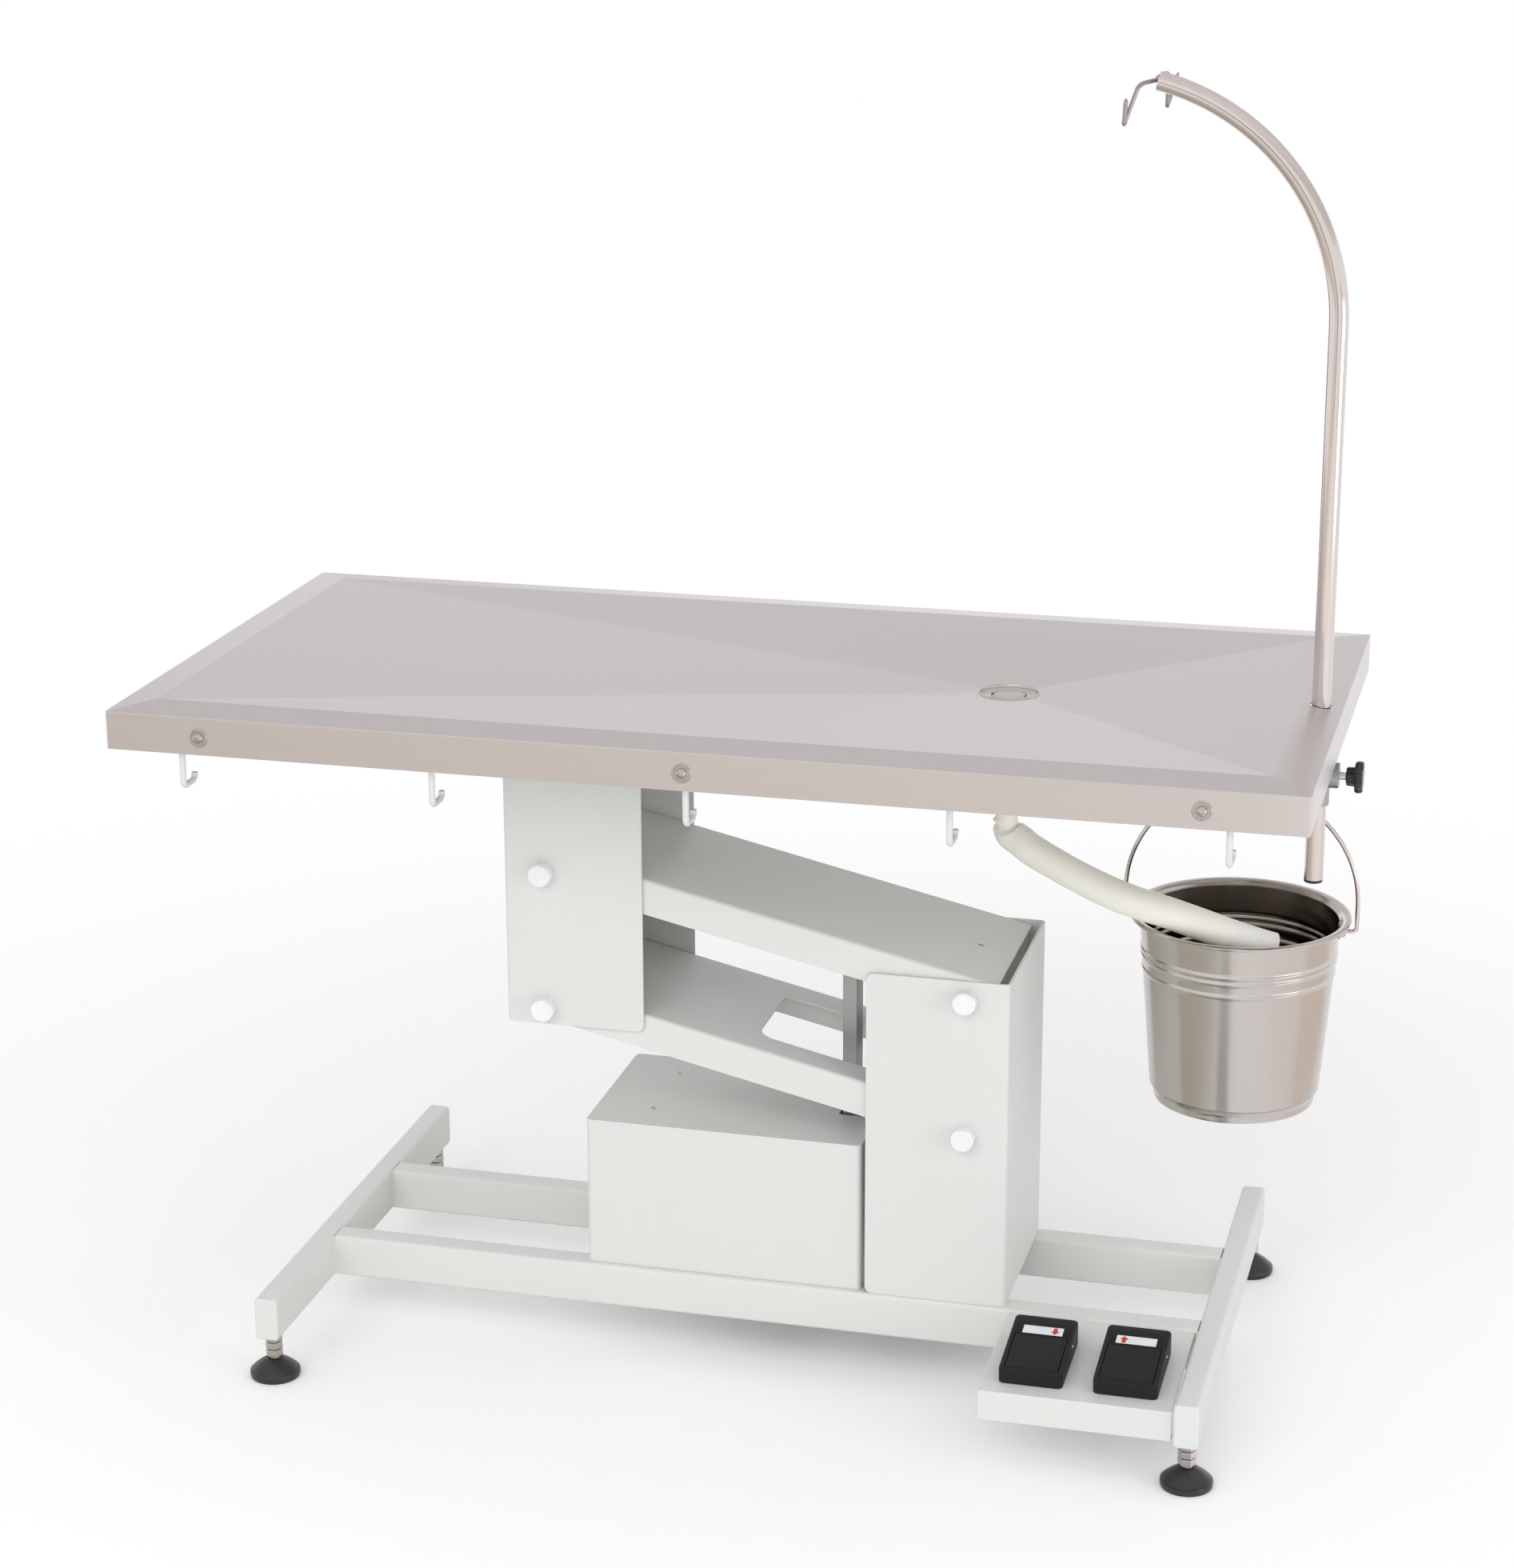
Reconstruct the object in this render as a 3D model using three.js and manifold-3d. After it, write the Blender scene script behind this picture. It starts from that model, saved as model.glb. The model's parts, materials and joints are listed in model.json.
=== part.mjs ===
// Veterinary exam table with a parallelogram lift, a drain, a drip pole and a bucket.
// Millimetres, +Z up, origin on the floor under the middle of the base frame, +X towards the pole.
import * as THREE from 'three';
import { mergeVertices } from 'three/addons/utils/BufferGeometryUtils.js';
import Module from 'manifold-3d';

const wasm = await Module();
wasm.setup();

// Clearances
const FIT_GAP = 0.3; // around pieces that turn, slide or sit in a cut
const ARM_SIDE_GAP = 1.5; // between an arm and the plates on each side of it
const COLUMN_END_GAP = 6.3; // between an arm's sweeping end and the column's plate behind it
const HEAD_END_GAP = 3; // the same at the head
const BOX_ARM_GAP = 10; // between the box and the lower arm at its lowest
const BOX_COLUMN_GAP = 5; // between the box and the column
const TRAY_GAP = 2.5; // between the pedal tray and the right beam

// Levelling feet
const PAD_RADIUS = 26.5;
const PAD_HEIGHT = 25;
const PAD_EDGE_HEIGHT = 7;
const PAD_NECK_RADIUS = 11;
const PAD_SHOULDER_INSET = 2.5;
const PAD_SHOULDER_RISE = 3.5;
const PAD_SOCKET_DEPTH = 9;
const STUD_RADIUS = 5;
const STUD_NECK = 8.5; // bare stud between pad and nuts
const NUT_RADIUS = 10.5; // to its corners
const NUT_HEIGHT = 7.5;
const NUT_COUNT = 2;
const STUD_REACH = 7; // above the beam's lower wall
const FOOT_INSET = 19; // from the beam's end

// Base frame
const BASE_LENGTH = 997;
const BEAM_LENGTH = 552;
const BEAM_WIDTH = 25;
const RAIL_WIDTH = 28;
const TUBE_HEIGHT = 47;
const TUBE_WALL = 2;
const TUBE_CORNER = 4;
const RAIL_SPREAD = 211; // over the rails' outer faces

// Folded plates of the lift
const PLATE = 3;
const BEND_RADIUS = 5;
const PLATE_CORNER = 8;
const CHANNEL_WIDTH = 205; // column and head, along Y
const COLUMN_DEPTH = 150;
const HEAD_DEPTH = 150;
const COLUMN_X = 271.5; // outer face of the column's closed side
const LOWER_PIVOT_RISE = 189; // above the rails
const PIVOT_SPACING = 150;
const COLUMN_ABOVE_PIVOT = 20;
const HEAD_BELOW_PIVOT = 19;
const HEAD_ABOVE_PIVOT = 165;
const HEAD_PLATE = 6;
const HEAD_PLATE_MARGIN = 14;
const ARM_LENGTH = 462; // pivot to pivot
const ARM_REST_ANGLE = THREE.MathUtils.degToRad(12.6);
const ARM_ABOVE = 23; // top of an arm over its pivot line
const ARM_BELOW = 14.5;
const ARM_OVERHANG = 28; // beyond each pivot
const SHAFT_RADIUS = 8;
const SHAFT_HEAD_RADIUS = 13;
const SHAFT_HEAD_LENGTH = 10;
const CAP_RADIUS = 12.5;
const CAP_LENGTH = 15;
const CAP_ROUND = 3;
const CAP_WALL = 4; // in front of the shaft's end
const ARM_HOLE_RADIUS = 4.5;
const ARM_HOLE_INSET = 10; // from the upper arm's right pivot

// Actuator
const ROD_WIDTH = 15;
const ROD_DEPTH = 30;
const ROD_FROM_COLUMN = 37; // rod's axis to the column's open edge
const ROD_ABOVE_PIN = 10;
const PIN_RADIUS = 6;
const PIN_OVERHANG = 3;
const EAR_THICKNESS = 5;
const EAR_WIDTH = 30;
const EAR_BELOW_PIN = 11;
const ROD_SIDE_GAP = 0.5;
const ROD_SWAY = 5.2; // room on each side of the rod in its housing, along X
const ROD_SWAY_SHIFT = 2.5; // the rod sways further towards the column
const ROD_TRAVEL_DOWN = 36;
const HOUSING_WALL = 6;
const HOUSING_FOOT = 18; // foot pin to the housing's underside
const HOUSING_FLOOR = 8;
const HOUSING_BOX_GAP = 4; // under the box's top
const TONGUE_WIDTH = 28;
const TONGUE_THICKNESS = 14;
const FOOT_PIN_RISE = 30; // above the rails' underside
const GEAR_CASE_HEIGHT = 30;
const MOTOR_RADIUS = 28;
const MOTOR_HEIGHT = 96;
const MOTOR_CHAMFER = 4;
const MOTOR_GAP = 1;
const MOUNT_WIDTH = 40;
const MOUNT_THICKNESS = 6;
const CUTOUT_BEFORE_ROD = 45; // the lower arm's cut-out, towards the column
const CUTOUT_PAST_ROD = 96;
const CUTOUT_HALF_WIDTH = 60;
const CUTOUT_CORNER = 18;

// Box beside the column
const BOX_LENGTH = 301;
const BOX_WIDTH = 196;
const BOX_SHEET = 1.5;
const BOX_CORNER = 6;
const SLOT_SIDE_GAP = 3; // around the rod in the box's top
const WINDOW_GAP = 8; // beside the housing in the box's right side, where it swings out
const BOX_FLOOR_LENGTH = 165;
const BOX_FLOOR_THICKNESS = 2;
const UNIT_LENGTH = 110;
const UNIT_WIDTH = 90;
const UNIT_HEIGHT = 70;
const UNIT_INSET = 25;
const UNIT_CORNER = 6;
const INLET_LENGTH = 28;
const INLET_HEIGHT = 20;
const INLET_FLANGE = 5;
const INLET_FLANGE_THICKNESS = 3;
const INLET_DEPTH = 22;
const INLET_WALL = 3;
const INLET_INSET = 70; // from the box's left end to the inlet's middle
const INLET_RISE = 40; // above the rails

// Table pan and under-frame
const TABLE_LENGTH = 1200;
const TABLE_WIDTH = 600;
const TABLE_FROM_PIVOT = 207.7; // head pivots to the table's middle
const APRON_HEIGHT = 39;
const PAN_SHEET = 1.5;
const RIM_SIDE_WIDTH = 40;
const RIM_END_WIDTH = 40;
const RIM_RISE = 5; // from the outer edge up to the ridge
const PAN_FALL = 9.6; // from the ridge down to the drain
const DRAIN_INSET = 337; // table's right end to the drain's middle
const FRAME_HEIGHT = 36.5;
const FRAME_WIDTH = 25;
const FRAME_WALL = 2;
const END_BAR = 8;
const CROSS_HEIGHT = 25;
const CROSS_INSET = 25; // head's sides to the cross tubes' middles
const HOOK_WIRE = 3.25;
const HOOK_OFFSETS = [-525, -260, 0, 260, 525];
const HOOK_INSET = 15; // behind the apron
const HOOK_DROP = 40; // below the frame, to the middle of the wire
const HOOK_REACH = 28;
const HOOK_TIP_RISE = 7;

// Drain
const DRAIN_HOLE_RADIUS = 27;
const DRAIN_FLANGE_RADIUS = 32;
const DRAIN_FLANGE = 1.6;
const DRAIN_FLANGE_EDGE = 2; // its sloping edge
const DRAIN_FLANGE_LIFT = 0.5; // over the facets around the hole
const DRAIN_BODY_DEPTH = 26;
const DRAIN_CONE = 15;
const DRAIN_PIPE_RADIUS = 10.7;
const DRAIN_PIPE_BORE = 8.5;
const DRAIN_PIPE_DROP = 132; // flange to the pipe's end
const DRAIN_COVER_RADIUS = 18;
const DRAIN_COVER = 3;
const DRAIN_COVER_EDGE = 1.5; // its sloping edge
const ELBOW_RADIUS = 13;
const ELBOW_BORE = 9;
const ELBOW_LIFT = 2; // of its bend over the middle of its fall

// Drain hose: middle of the hose, from the drain's middle and the floor, at the photographed height
const HOSE_RADIUS = 16.5;
const HOSE_POINTS = [
  [14.5, -1.5, 576.5],
  [25, -4, 569.5],
  [38, -7, 563.3],
  [51.3, -10, 557.6],
  [72, -15, 549.3],
  [93.5, -20, 541.6],
  [112, -24.5, 535.9],
  [131, -28.7, 531],
  [153, -32.3, 526.5],
  [175, -34.8, 522],
  [193, -35.6, 517.2],
  [211, -34.6, 511.4],
  [229, -32, 505],
  [247, -28, 498.6],
  [264, -23, 492.5],
  [279, -17.5, 487],
];
const HOSE_STEPS = 18;

// Pole, its sleeve and its clamp
const POLE_RADIUS = 9.5;
const POLE_WALL = 1.4;
const POLE_BOTTOM_DROP = 141; // below the under-frame
const POLE_STRAIGHT = 561;
const POLE_BEND_RADIUS = 236;
const POLE_BEND_ANGLE = THREE.MathUtils.degToRad(76.5);
const POLE_BEND_STEPS = 12;
const SLEEVE_RADIUS = 12;
const SLEEVE_DROP = 62; // below the under-frame
const BOSS_RADIUS = 13;
const BOSS_REACH = 21; // from the pole's axis
const BOSS_RISE = 31; // above the sleeve's lower end
const SCREW_RADIUS = 4;
const KNOB_REACH = 28; // pole's axis to the knob's near face
const KNOB_RADIUS = 17;
const KNOB_LOBES = 7;
const KNOB_LOBE_DEPTH = 3.2;
const KNOB_THICKNESS = 8.5;
const KNOB_HUB_RADIUS = 10;
const KNOB_HUB_LENGTH = 8.5;
const PLUG_HEAD = 3;
const PLUG_STEM = 14;
const DRIP_WIRE = 2.2;
const DRIP_HOLE_INSET = 8; // from the pole's tip along its middle
const DRIP_BACK_SWING = 0.3; // the back hook's swing to the right, as a share of the front one's
const DRIP_HALF = [ // front half of the cross wire, from the middle of the pole's hole
  [0, 13, 0], [-3, 26, 0.5], [-6, 35, -1], [-9, 41, -8],
  [-16, 47, -36], [-17.5, 49.5, -40], [-18, 52, -36], [-15, 56, -12],
];

// Bucket on its hook
const BUCKET_INSET = 98; // table's right end to the bucket's middle
const BUCKET_Y = 35;
const BUCKET_RIM_RADIUS = 113.5;
const BUCKET_TOP_RADIUS = 100.5;
const BUCKET_BOTTOM_RADIUS = 87.5;
const BUCKET_BASE_RADIUS = 83;
const BUCKET_HEIGHT = 202;
const BUCKET_WALL = 1.4;
const BUCKET_RIM = 4;
const BUCKET_BASE = 8;
const BUCKET_FOOT_ROUND = 6; // height of the wall's turn in to the base
const BUCKET_RIM_ROUND = 2;
const BEAD_DEPTHS = [42, 59];
const BEAD_SIZE = 2.4;
const EAR_DROP = 12; // rim to the bail's pivots
const BUCKET_EAR = 7;
const BUCKET_EAR_RADIUS = 9;
const BUCKET_EAR_FLOOR = 2; // left behind the drilled hole
const BAIL_WIRE = 2.25;
const BAIL_HALF_WIDTH = 119;
const BAIL_RISE = 148;
const BAIL_PIN_REACH = 13;
const BAIL_CORNER = 4;
const BUCKET_HOOK_WIRE = 3.5;
const BUCKET_HOOK_BEND = 9;
const BUCKET_HOOK_FLARE = 1.5;
const BUCKET_HOOK_DROP = 56; // below the under-frame, to the bend's middle

// Pedals
const TRAY_LENGTH = 195;
const TRAY_DEPTH = 166.5;
const TRAY_SHEET = 2;
const TRAY_BACK_DROP = 2.5; // below the rails' top
const TRAY_FRONT_DROP = 10.5;
const TRAY_LIP = 32;
const TRAY_RETURN = 12;
const TRAY_FLANGE = 34;
const PEDAL_SPACING = 95.5;
const PEDAL_WIDTH = 65;
const PEDAL_LENGTH = 101;
const PEDAL_FRONT_HEIGHT = 16;
const PEDAL_BACK_HEIGHT = 25;
const PEDAL_FRONT_INSET = 19; // from the tray's front edge
const PEDAL_FLOOR = 3;
const PEDAL_WALL = 5;
const TREAD_LENGTH = 60;
const TREAD_THICKNESS = 4.5;
const TREAD_GAP = 0.6;
const TREAD_KNUCKLE = 5; // around the hinge pin
const PEDAL_PIN_RADIUS = 1.5;
const PEDAL_PIN_PROUD = 1.2;

// Heights and places worked out from the sizes above
const railBottom = PAD_HEIGHT + STUD_NECK + NUT_COUNT * NUT_HEIGHT;
const railTop = railBottom + TUBE_HEIGHT;
const armEndRadius = Math.hypot(ARM_OVERHANG, Math.max(ARM_ABOVE, ARM_BELOW));
const columnPivotInset = armEndRadius + COLUMN_END_GAP + PLATE;
const headPivotInset = armEndRadius + HEAD_END_GAP + PLATE;
const columnPivotX = COLUMN_X - columnPivotInset;
const columnLeft = COLUMN_X - COLUMN_DEPTH;
const lowerPivotZ = railTop + LOWER_PIVOT_RISE;
const upperPivotZ = lowerPivotZ + PIVOT_SPACING;
const headPivotX = columnPivotX - ARM_LENGTH * Math.cos(ARM_REST_ANGLE);
const headRise = ARM_LENGTH * Math.sin(ARM_REST_ANGLE);
const headLeft = headPivotX - headPivotInset;
const headBottom = lowerPivotZ + headRise - HEAD_BELOW_PIVOT;
const headTop = upperPivotZ + headRise + HEAD_ABOVE_PIVOT;
const armWidth = CHANNEL_WIDTH - 2 * (PLATE + ARM_SIDE_GAP);
const tableX = headPivotX + TABLE_FROM_PIVOT;
const panTop = headTop + FRAME_HEIGHT + PAN_SHEET;
const drainX = TABLE_LENGTH / 2 - DRAIN_INSET;
const bucketX = tableX + TABLE_LENGTH / 2 - BUCKET_INSET;
const frameX = TABLE_LENGTH / 2 - PAN_SHEET - FIT_GAP;
const frameY = TABLE_WIDTH / 2 - PAN_SHEET - FIT_GAP;
const poleX = tableX + frameX - END_BAR - FIT_GAP - SLEEVE_RADIUS;
const boxTop = lowerPivotZ - ARM_BELOW - BOX_ARM_GAP;
const boxRight = columnLeft - BOX_COLUMN_GAP;
const boxLeft = boxRight - BOX_LENGTH;
const rodX = columnLeft - ROD_FROM_COLUMN;
const rodReach = (columnPivotX - rodX) / Math.cos(ARM_REST_ANGLE);
const rodPinZ = upperPivotZ + rodReach * Math.sin(ARM_REST_ANGLE);
const footPinZ = railBottom + FOOT_PIN_RISE;
const earGap = ROD_DEPTH / 2 + ROD_SIDE_GAP;

// Turns a closed geometry into a solid that can be cut and joined.
function solid(geometry) {
  const bare = geometry.clone();
  bare.deleteAttribute('normal');
  bare.deleteAttribute('uv');
  const merged = mergeVertices(bare, 1e-4);
  const corners = merged.index.array;
  const triVerts = [];
  for (let i = 0; i < corners.length; i += 3) {
    const [a, b, c] = [corners[i], corners[i + 1], corners[i + 2]];
    if (a !== b && b !== c && c !== a) triVerts.push(a, b, c);
  }
  const mesh = new wasm.Mesh({
    numProp: 3,
    vertProperties: new Float32Array(merged.attributes.position.array),
    triVerts: new Uint32Array(triVerts),
  });
  return new wasm.Manifold(mesh);
}

// Turns a solid back into a geometry.
function skin(body) {
  const mesh = body.getMesh();
  const geometry = new THREE.BufferGeometry();
  geometry.setAttribute('position', new THREE.BufferAttribute(new Float32Array(mesh.vertProperties), 3));
  geometry.setIndex(new THREE.BufferAttribute(new Uint32Array(mesh.triVerts), 1));
  geometry.computeVertexNormals();
  return geometry;
}

function join(...geometries) {
  return skin(geometries.map(solid).reduce((whole, piece) => whole.add(piece)));
}

function cut(geometry, ...tools) {
  return skin(tools.map(solid).reduce((whole, tool) => whole.subtract(tool), solid(geometry)));
}

function common(geometry, other) {
  return skin(solid(geometry).intersect(solid(other)));
}

// A block between two corners.
function block([x0, y0, z0], [x1, y1, z1]) {
  const geometry = new THREE.BoxGeometry(x1 - x0, y1 - y0, z1 - z0);
  return geometry.translate((x0 + x1) / 2, (y0 + y1) / 2, (z0 + z1) / 2);
}

// A shape pushed along an axis: its own x and y lie along the other two axes named.
function push(shape, [xAxis, yAxis, zAxis], from, to, curveSegments = 4) {
  const depth = to - from;
  const geometry = new THREE.ExtrudeGeometry(shape, { depth, bevelEnabled: false, curveSegments });
  geometry.translate(0, 0, from);
  return geometry.applyMatrix4(new THREE.Matrix4().makeBasis(xAxis, yAxis, zAxis));
}

const X = new THREE.Vector3(1, 0, 0);
const Y = new THREE.Vector3(0, 1, 0);
const Z = new THREE.Vector3(0, 0, 1);
const alongZ = [X, Y, Z];
const alongX = [Y, Z, X];
const backAlongY = [X, Z, Y.clone().negate()];
const backAlongX = [Z, Y, X.clone().negate()];

// A shape in X and Z pushed from y0 to y1.
function pushY(shape, y0, y1, curveSegments) {
  return push(shape, backAlongY, -y1, -y0, curveSegments);
}

function rodAlong(axis, radius, from, to, segments = 18) {
  const geometry = new THREE.CylinderGeometry(radius, radius, to - from, segments);
  geometry.translate(0, (from + to) / 2, 0);
  if (axis === 'x') geometry.rotateZ(-Math.PI / 2);
  if (axis === 'z') geometry.rotateX(Math.PI / 2);
  return geometry;
}

// A profile of [radius, height] turned about Z.
function turn(profile, segments = 20) {
  const geometry = new THREE.LatheGeometry(profile.map(([r, z]) => new THREE.Vector2(r, z)), segments);
  return geometry.rotateX(Math.PI / 2);
}

function circle(radius, segments) {
  const shape = new THREE.Shape();
  for (let i = 0; i < segments; i += 1) {
    const angle = (2 * Math.PI * i) / segments;
    const point = [radius * Math.cos(angle), radius * Math.sin(angle)];
    if (i === 0) shape.moveTo(...point);
    else shape.lineTo(...point);
  }
  shape.closePath();
  return shape;
}

// A wire or tube along points; a bore makes it hollow.
function tube(points, radius, sides, steps, bore = 0) {
  const curve = new THREE.CatmullRomCurve3(points.map((p) => new THREE.Vector3(...p)), false, 'centripetal');
  const section = circle(radius, sides);
  if (bore > 0) section.holes.push(circle(bore, sides));
  return new THREE.ExtrudeGeometry(section, { steps, extrudePath: curve, bevelEnabled: false });
}

function roundedRectangle(x0, y0, x1, y1, radius) {
  const shape = new THREE.Shape();
  shape.moveTo(x0 + radius, y0);
  shape.lineTo(x1 - radius, y0);
  shape.absarc(x1 - radius, y0 + radius, radius, -Math.PI / 2, 0);
  shape.lineTo(x1, y1 - radius);
  shape.absarc(x1 - radius, y1 - radius, radius, 0, Math.PI / 2);
  shape.lineTo(x0 + radius, y1);
  shape.absarc(x0 + radius, y1 - radius, radius, Math.PI / 2, Math.PI);
  shape.lineTo(x0, y0 + radius);
  shape.absarc(x0 + radius, y0 + radius, radius, Math.PI, 1.5 * Math.PI);
  return shape;
}

// Section of a folded channel: open at x = 0, closed at x = depth, as wide as width along y.
function channelSection(depth, width, plate, bend) {
  const half = width / 2;
  const inner = bend - plate;
  const shape = new THREE.Shape();
  shape.moveTo(0, -half);
  shape.lineTo(depth - bend, -half);
  shape.absarc(depth - bend, -half + bend, bend, -Math.PI / 2, 0);
  shape.lineTo(depth, half - bend);
  shape.absarc(depth - bend, half - bend, bend, 0, Math.PI / 2);
  shape.lineTo(0, half);
  shape.lineTo(0, half - plate);
  shape.lineTo(depth - bend, half - plate);
  shape.absarc(depth - bend, half - bend, inner, Math.PI / 2, 0, true);
  shape.lineTo(depth - plate, -half + bend);
  shape.absarc(depth - bend, -half + bend, inner, 0, -Math.PI / 2, true);
  shape.lineTo(0, -half + plate);
  shape.closePath();
  return shape;
}

function polygon(points) {
  return new THREE.Shape(points.map(([x, y]) => new THREE.Vector2(x, y)));
}

// Rings of equally many points, skinned in turn and back to the first ring.
function loft(rings) {
  const count = rings[0].length;
  const index = [];
  rings.forEach((ring, r) => {
    const next = (r + 1) % rings.length;
    for (let i = 0; i < count; i += 1) {
      const j = (i + 1) % count;
      const [a, b, c, d] = [r * count + i, r * count + j, next * count + j, next * count + i];
      index.push(a, b, c, a, c, d);
    }
  });
  const geometry = new THREE.BufferGeometry();
  geometry.setAttribute('position', new THREE.Float32BufferAttribute(rings.flat(2), 3));
  geometry.setIndex(index);
  return geometry;
}

const PAINT = { color: 0xdfe4e2, roughness: 0.5, metalness: 0 };
const STAINLESS = { color: 0xc5c0c0, roughness: 0.35, metalness: 1 };
const POLISHED = { color: 0xd0ccc8, roughness: 0.15, metalness: 1 };
const NICKEL = { color: 0xb5aca4, roughness: 0.3, metalness: 1 };
const BLACK = { color: 0x26262a, roughness: 0.5, metalness: 0 };
const WHITE = { color: 0xf0f0f0, roughness: 0.3, metalness: 0 };
const CREAM = { color: 0xe4e2d4, roughness: 0.5, metalness: 0 };
const GREY = { color: 0x9a9c9e, roughness: 0.5, metalness: 0 };

const examTable = new THREE.Group();

function add(group, name, geometry, finish) {
  const mesh = new THREE.Mesh(geometry, new THREE.MeshStandardMaterial(finish));
  mesh.name = name;
  group.add(mesh);
  return mesh;
}

function groupAt(x, y, z) {
  const group = new THREE.Group();
  group.position.set(x, y, z);
  examTable.add(group);
  return group;
}

// Floor beams: closed tubes, drilled below for the feet.
function floorBeam() {
  const half = BEAM_WIDTH / 2;
  const end = BEAM_LENGTH / 2;
  const outer = pushY(roundedRectangle(-half, 0, half, TUBE_HEIGHT, TUBE_CORNER), -end, end);
  const hollow = block(
    [-half + TUBE_WALL, -end + TUBE_WALL, TUBE_WALL],
    [half - TUBE_WALL, end - TUBE_WALL, TUBE_HEIGHT - TUBE_WALL],
  );
  const holes = [-1, 1].map((side) =>
    rodAlong('z', STUD_RADIUS + FIT_GAP, -1, TUBE_WALL + 1).translate(0, side * (end - FOOT_INSET), 0));
  return cut(outer, hollow, ...holes);
}

function rail() {
  const half = RAIL_WIDTH / 2;
  const section = roundedRectangle(-half, 0, half, TUBE_HEIGHT, TUBE_CORNER);
  section.holes.push(
    roundedRectangle(-half + TUBE_WALL, TUBE_WALL, half - TUBE_WALL, TUBE_HEIGHT - TUBE_WALL, TUBE_WALL),
  );
  const reach = BASE_LENGTH / 2 - BEAM_WIDTH;
  return push(section, alongX, -reach, reach);
}

function levellingPad() {
  const socket = STUD_RADIUS + FIT_GAP;
  return turn([
    [0, 0],
    [PAD_RADIUS - 1, 0],
    [PAD_RADIUS, 1],
    [PAD_RADIUS, PAD_EDGE_HEIGHT],
    [PAD_RADIUS - PAD_SHOULDER_INSET, PAD_EDGE_HEIGHT + PAD_SHOULDER_RISE],
    [PAD_NECK_RADIUS, PAD_HEIGHT],
    [socket, PAD_HEIGHT],
    [socket, PAD_HEIGHT - PAD_SOCKET_DEPTH],
    [0, PAD_HEIGHT - PAD_SOCKET_DEPTH],
  ], 16);
}

function levellingStud() {
  const bottom = PAD_HEIGHT - PAD_SOCKET_DEPTH + FIT_GAP;
  const nutsTop = railBottom - FIT_GAP;
  const nutsBottom = nutsTop - NUT_COUNT * NUT_HEIGHT;
  const stud = rodAlong('z', STUD_RADIUS, bottom, railBottom + TUBE_WALL + STUD_REACH, 16);
  const nuts = rodAlong('z', NUT_RADIUS, nutsBottom, nutsTop, 6);
  return join(stud, nuts);
}

function addBase() {
  const beamX = BASE_LENGTH / 2 - BEAM_WIDTH / 2;
  const footY = BEAM_LENGTH / 2 - FOOT_INSET;
  for (const [side, x] of [['left', -beamX], ['right', beamX]]) {
    const beam = groupAt(x, 0, railBottom);
    add(beam, `${side}_beam`, floorBeam(), PAINT);
    for (const [place, y] of [['front', -footY], ['back', footY]]) {
      const foot = groupAt(x, y, 0);
      add(foot, `foot_pad_${place}_${side}`, levellingPad(), BLACK);
      add(foot, `foot_stud_${place}_${side}`, levellingStud(), NICKEL);
    }
  }
  const railY = RAIL_SPREAD / 2 - RAIL_WIDTH / 2;
  for (const [place, y] of [['front', -railY], ['back', railY]]) {
    add(groupAt(0, y, railBottom), `${place}_rail`, rail(), PAINT);
  }
}

// Upright channel open at x = 0, with its free corners rounded.
function uprightChannel(depth, height) {
  const channel = push(channelSection(depth, CHANNEL_WIDTH, PLATE, BEND_RADIUS), alongZ, 0, height);
  const outline = roundedRectangle(0, 0, depth + 2 * PLATE_CORNER, height, PLATE_CORNER);
  return common(channel, pushY(outline, -CHANNEL_WIDTH, CHANNEL_WIDTH));
}

function shaftHole(x, z) {
  return rodAlong('y', SHAFT_RADIUS + FIT_GAP, -CHANNEL_WIDTH, CHANNEL_WIDTH).translate(x, 0, z);
}

// Pivot shaft with its head behind, and the cap on its front end.
function addPivot(name, x, z) {
  const face = CHANNEL_WIDTH / 2;
  const pivot = groupAt(x, 0, z);
  const front = -face - CAP_LENGTH + CAP_WALL + FIT_GAP;
  const shaft = rodAlong('y', SHAFT_RADIUS, front, face + SHAFT_HEAD_LENGTH);
  const head = rodAlong('y', SHAFT_HEAD_RADIUS, face, face + SHAFT_HEAD_LENGTH, 6);
  add(pivot, `pivot_shaft_${name}`, join(shaft, head), NICKEL);
  const bore = SHAFT_RADIUS + FIT_GAP;
  const cap = turn([
    [bore, 0],
    [CAP_RADIUS, 0],
    [CAP_RADIUS, CAP_LENGTH - CAP_ROUND],
    [CAP_RADIUS - CAP_ROUND * 0.3, CAP_LENGTH - CAP_ROUND * 0.3],
    [CAP_RADIUS - CAP_ROUND, CAP_LENGTH],
    [0, CAP_LENGTH],
    [0, CAP_LENGTH - CAP_WALL],
    [bore, CAP_LENGTH - CAP_WALL],
    [bore, 0],
  ], 18);
  add(pivot, `pivot_cap_${name}`, cap.rotateX(Math.PI / 2).translate(0, -face, 0), WHITE);
}

function addColumn() {
  const height = upperPivotZ + COLUMN_ABOVE_PIVOT - railTop;
  const x = COLUMN_DEPTH - columnPivotInset;
  const holes = [lowerPivotZ, upperPivotZ].map((z) => shaftHole(x, z - railTop));
  add(groupAt(columnLeft, 0, railTop), 'column', cut(uprightChannel(COLUMN_DEPTH, height), ...holes), PAINT);
  addPivot('lower_right', columnPivotX, lowerPivotZ);
  addPivot('upper_right', columnPivotX, upperPivotZ);
}

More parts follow.
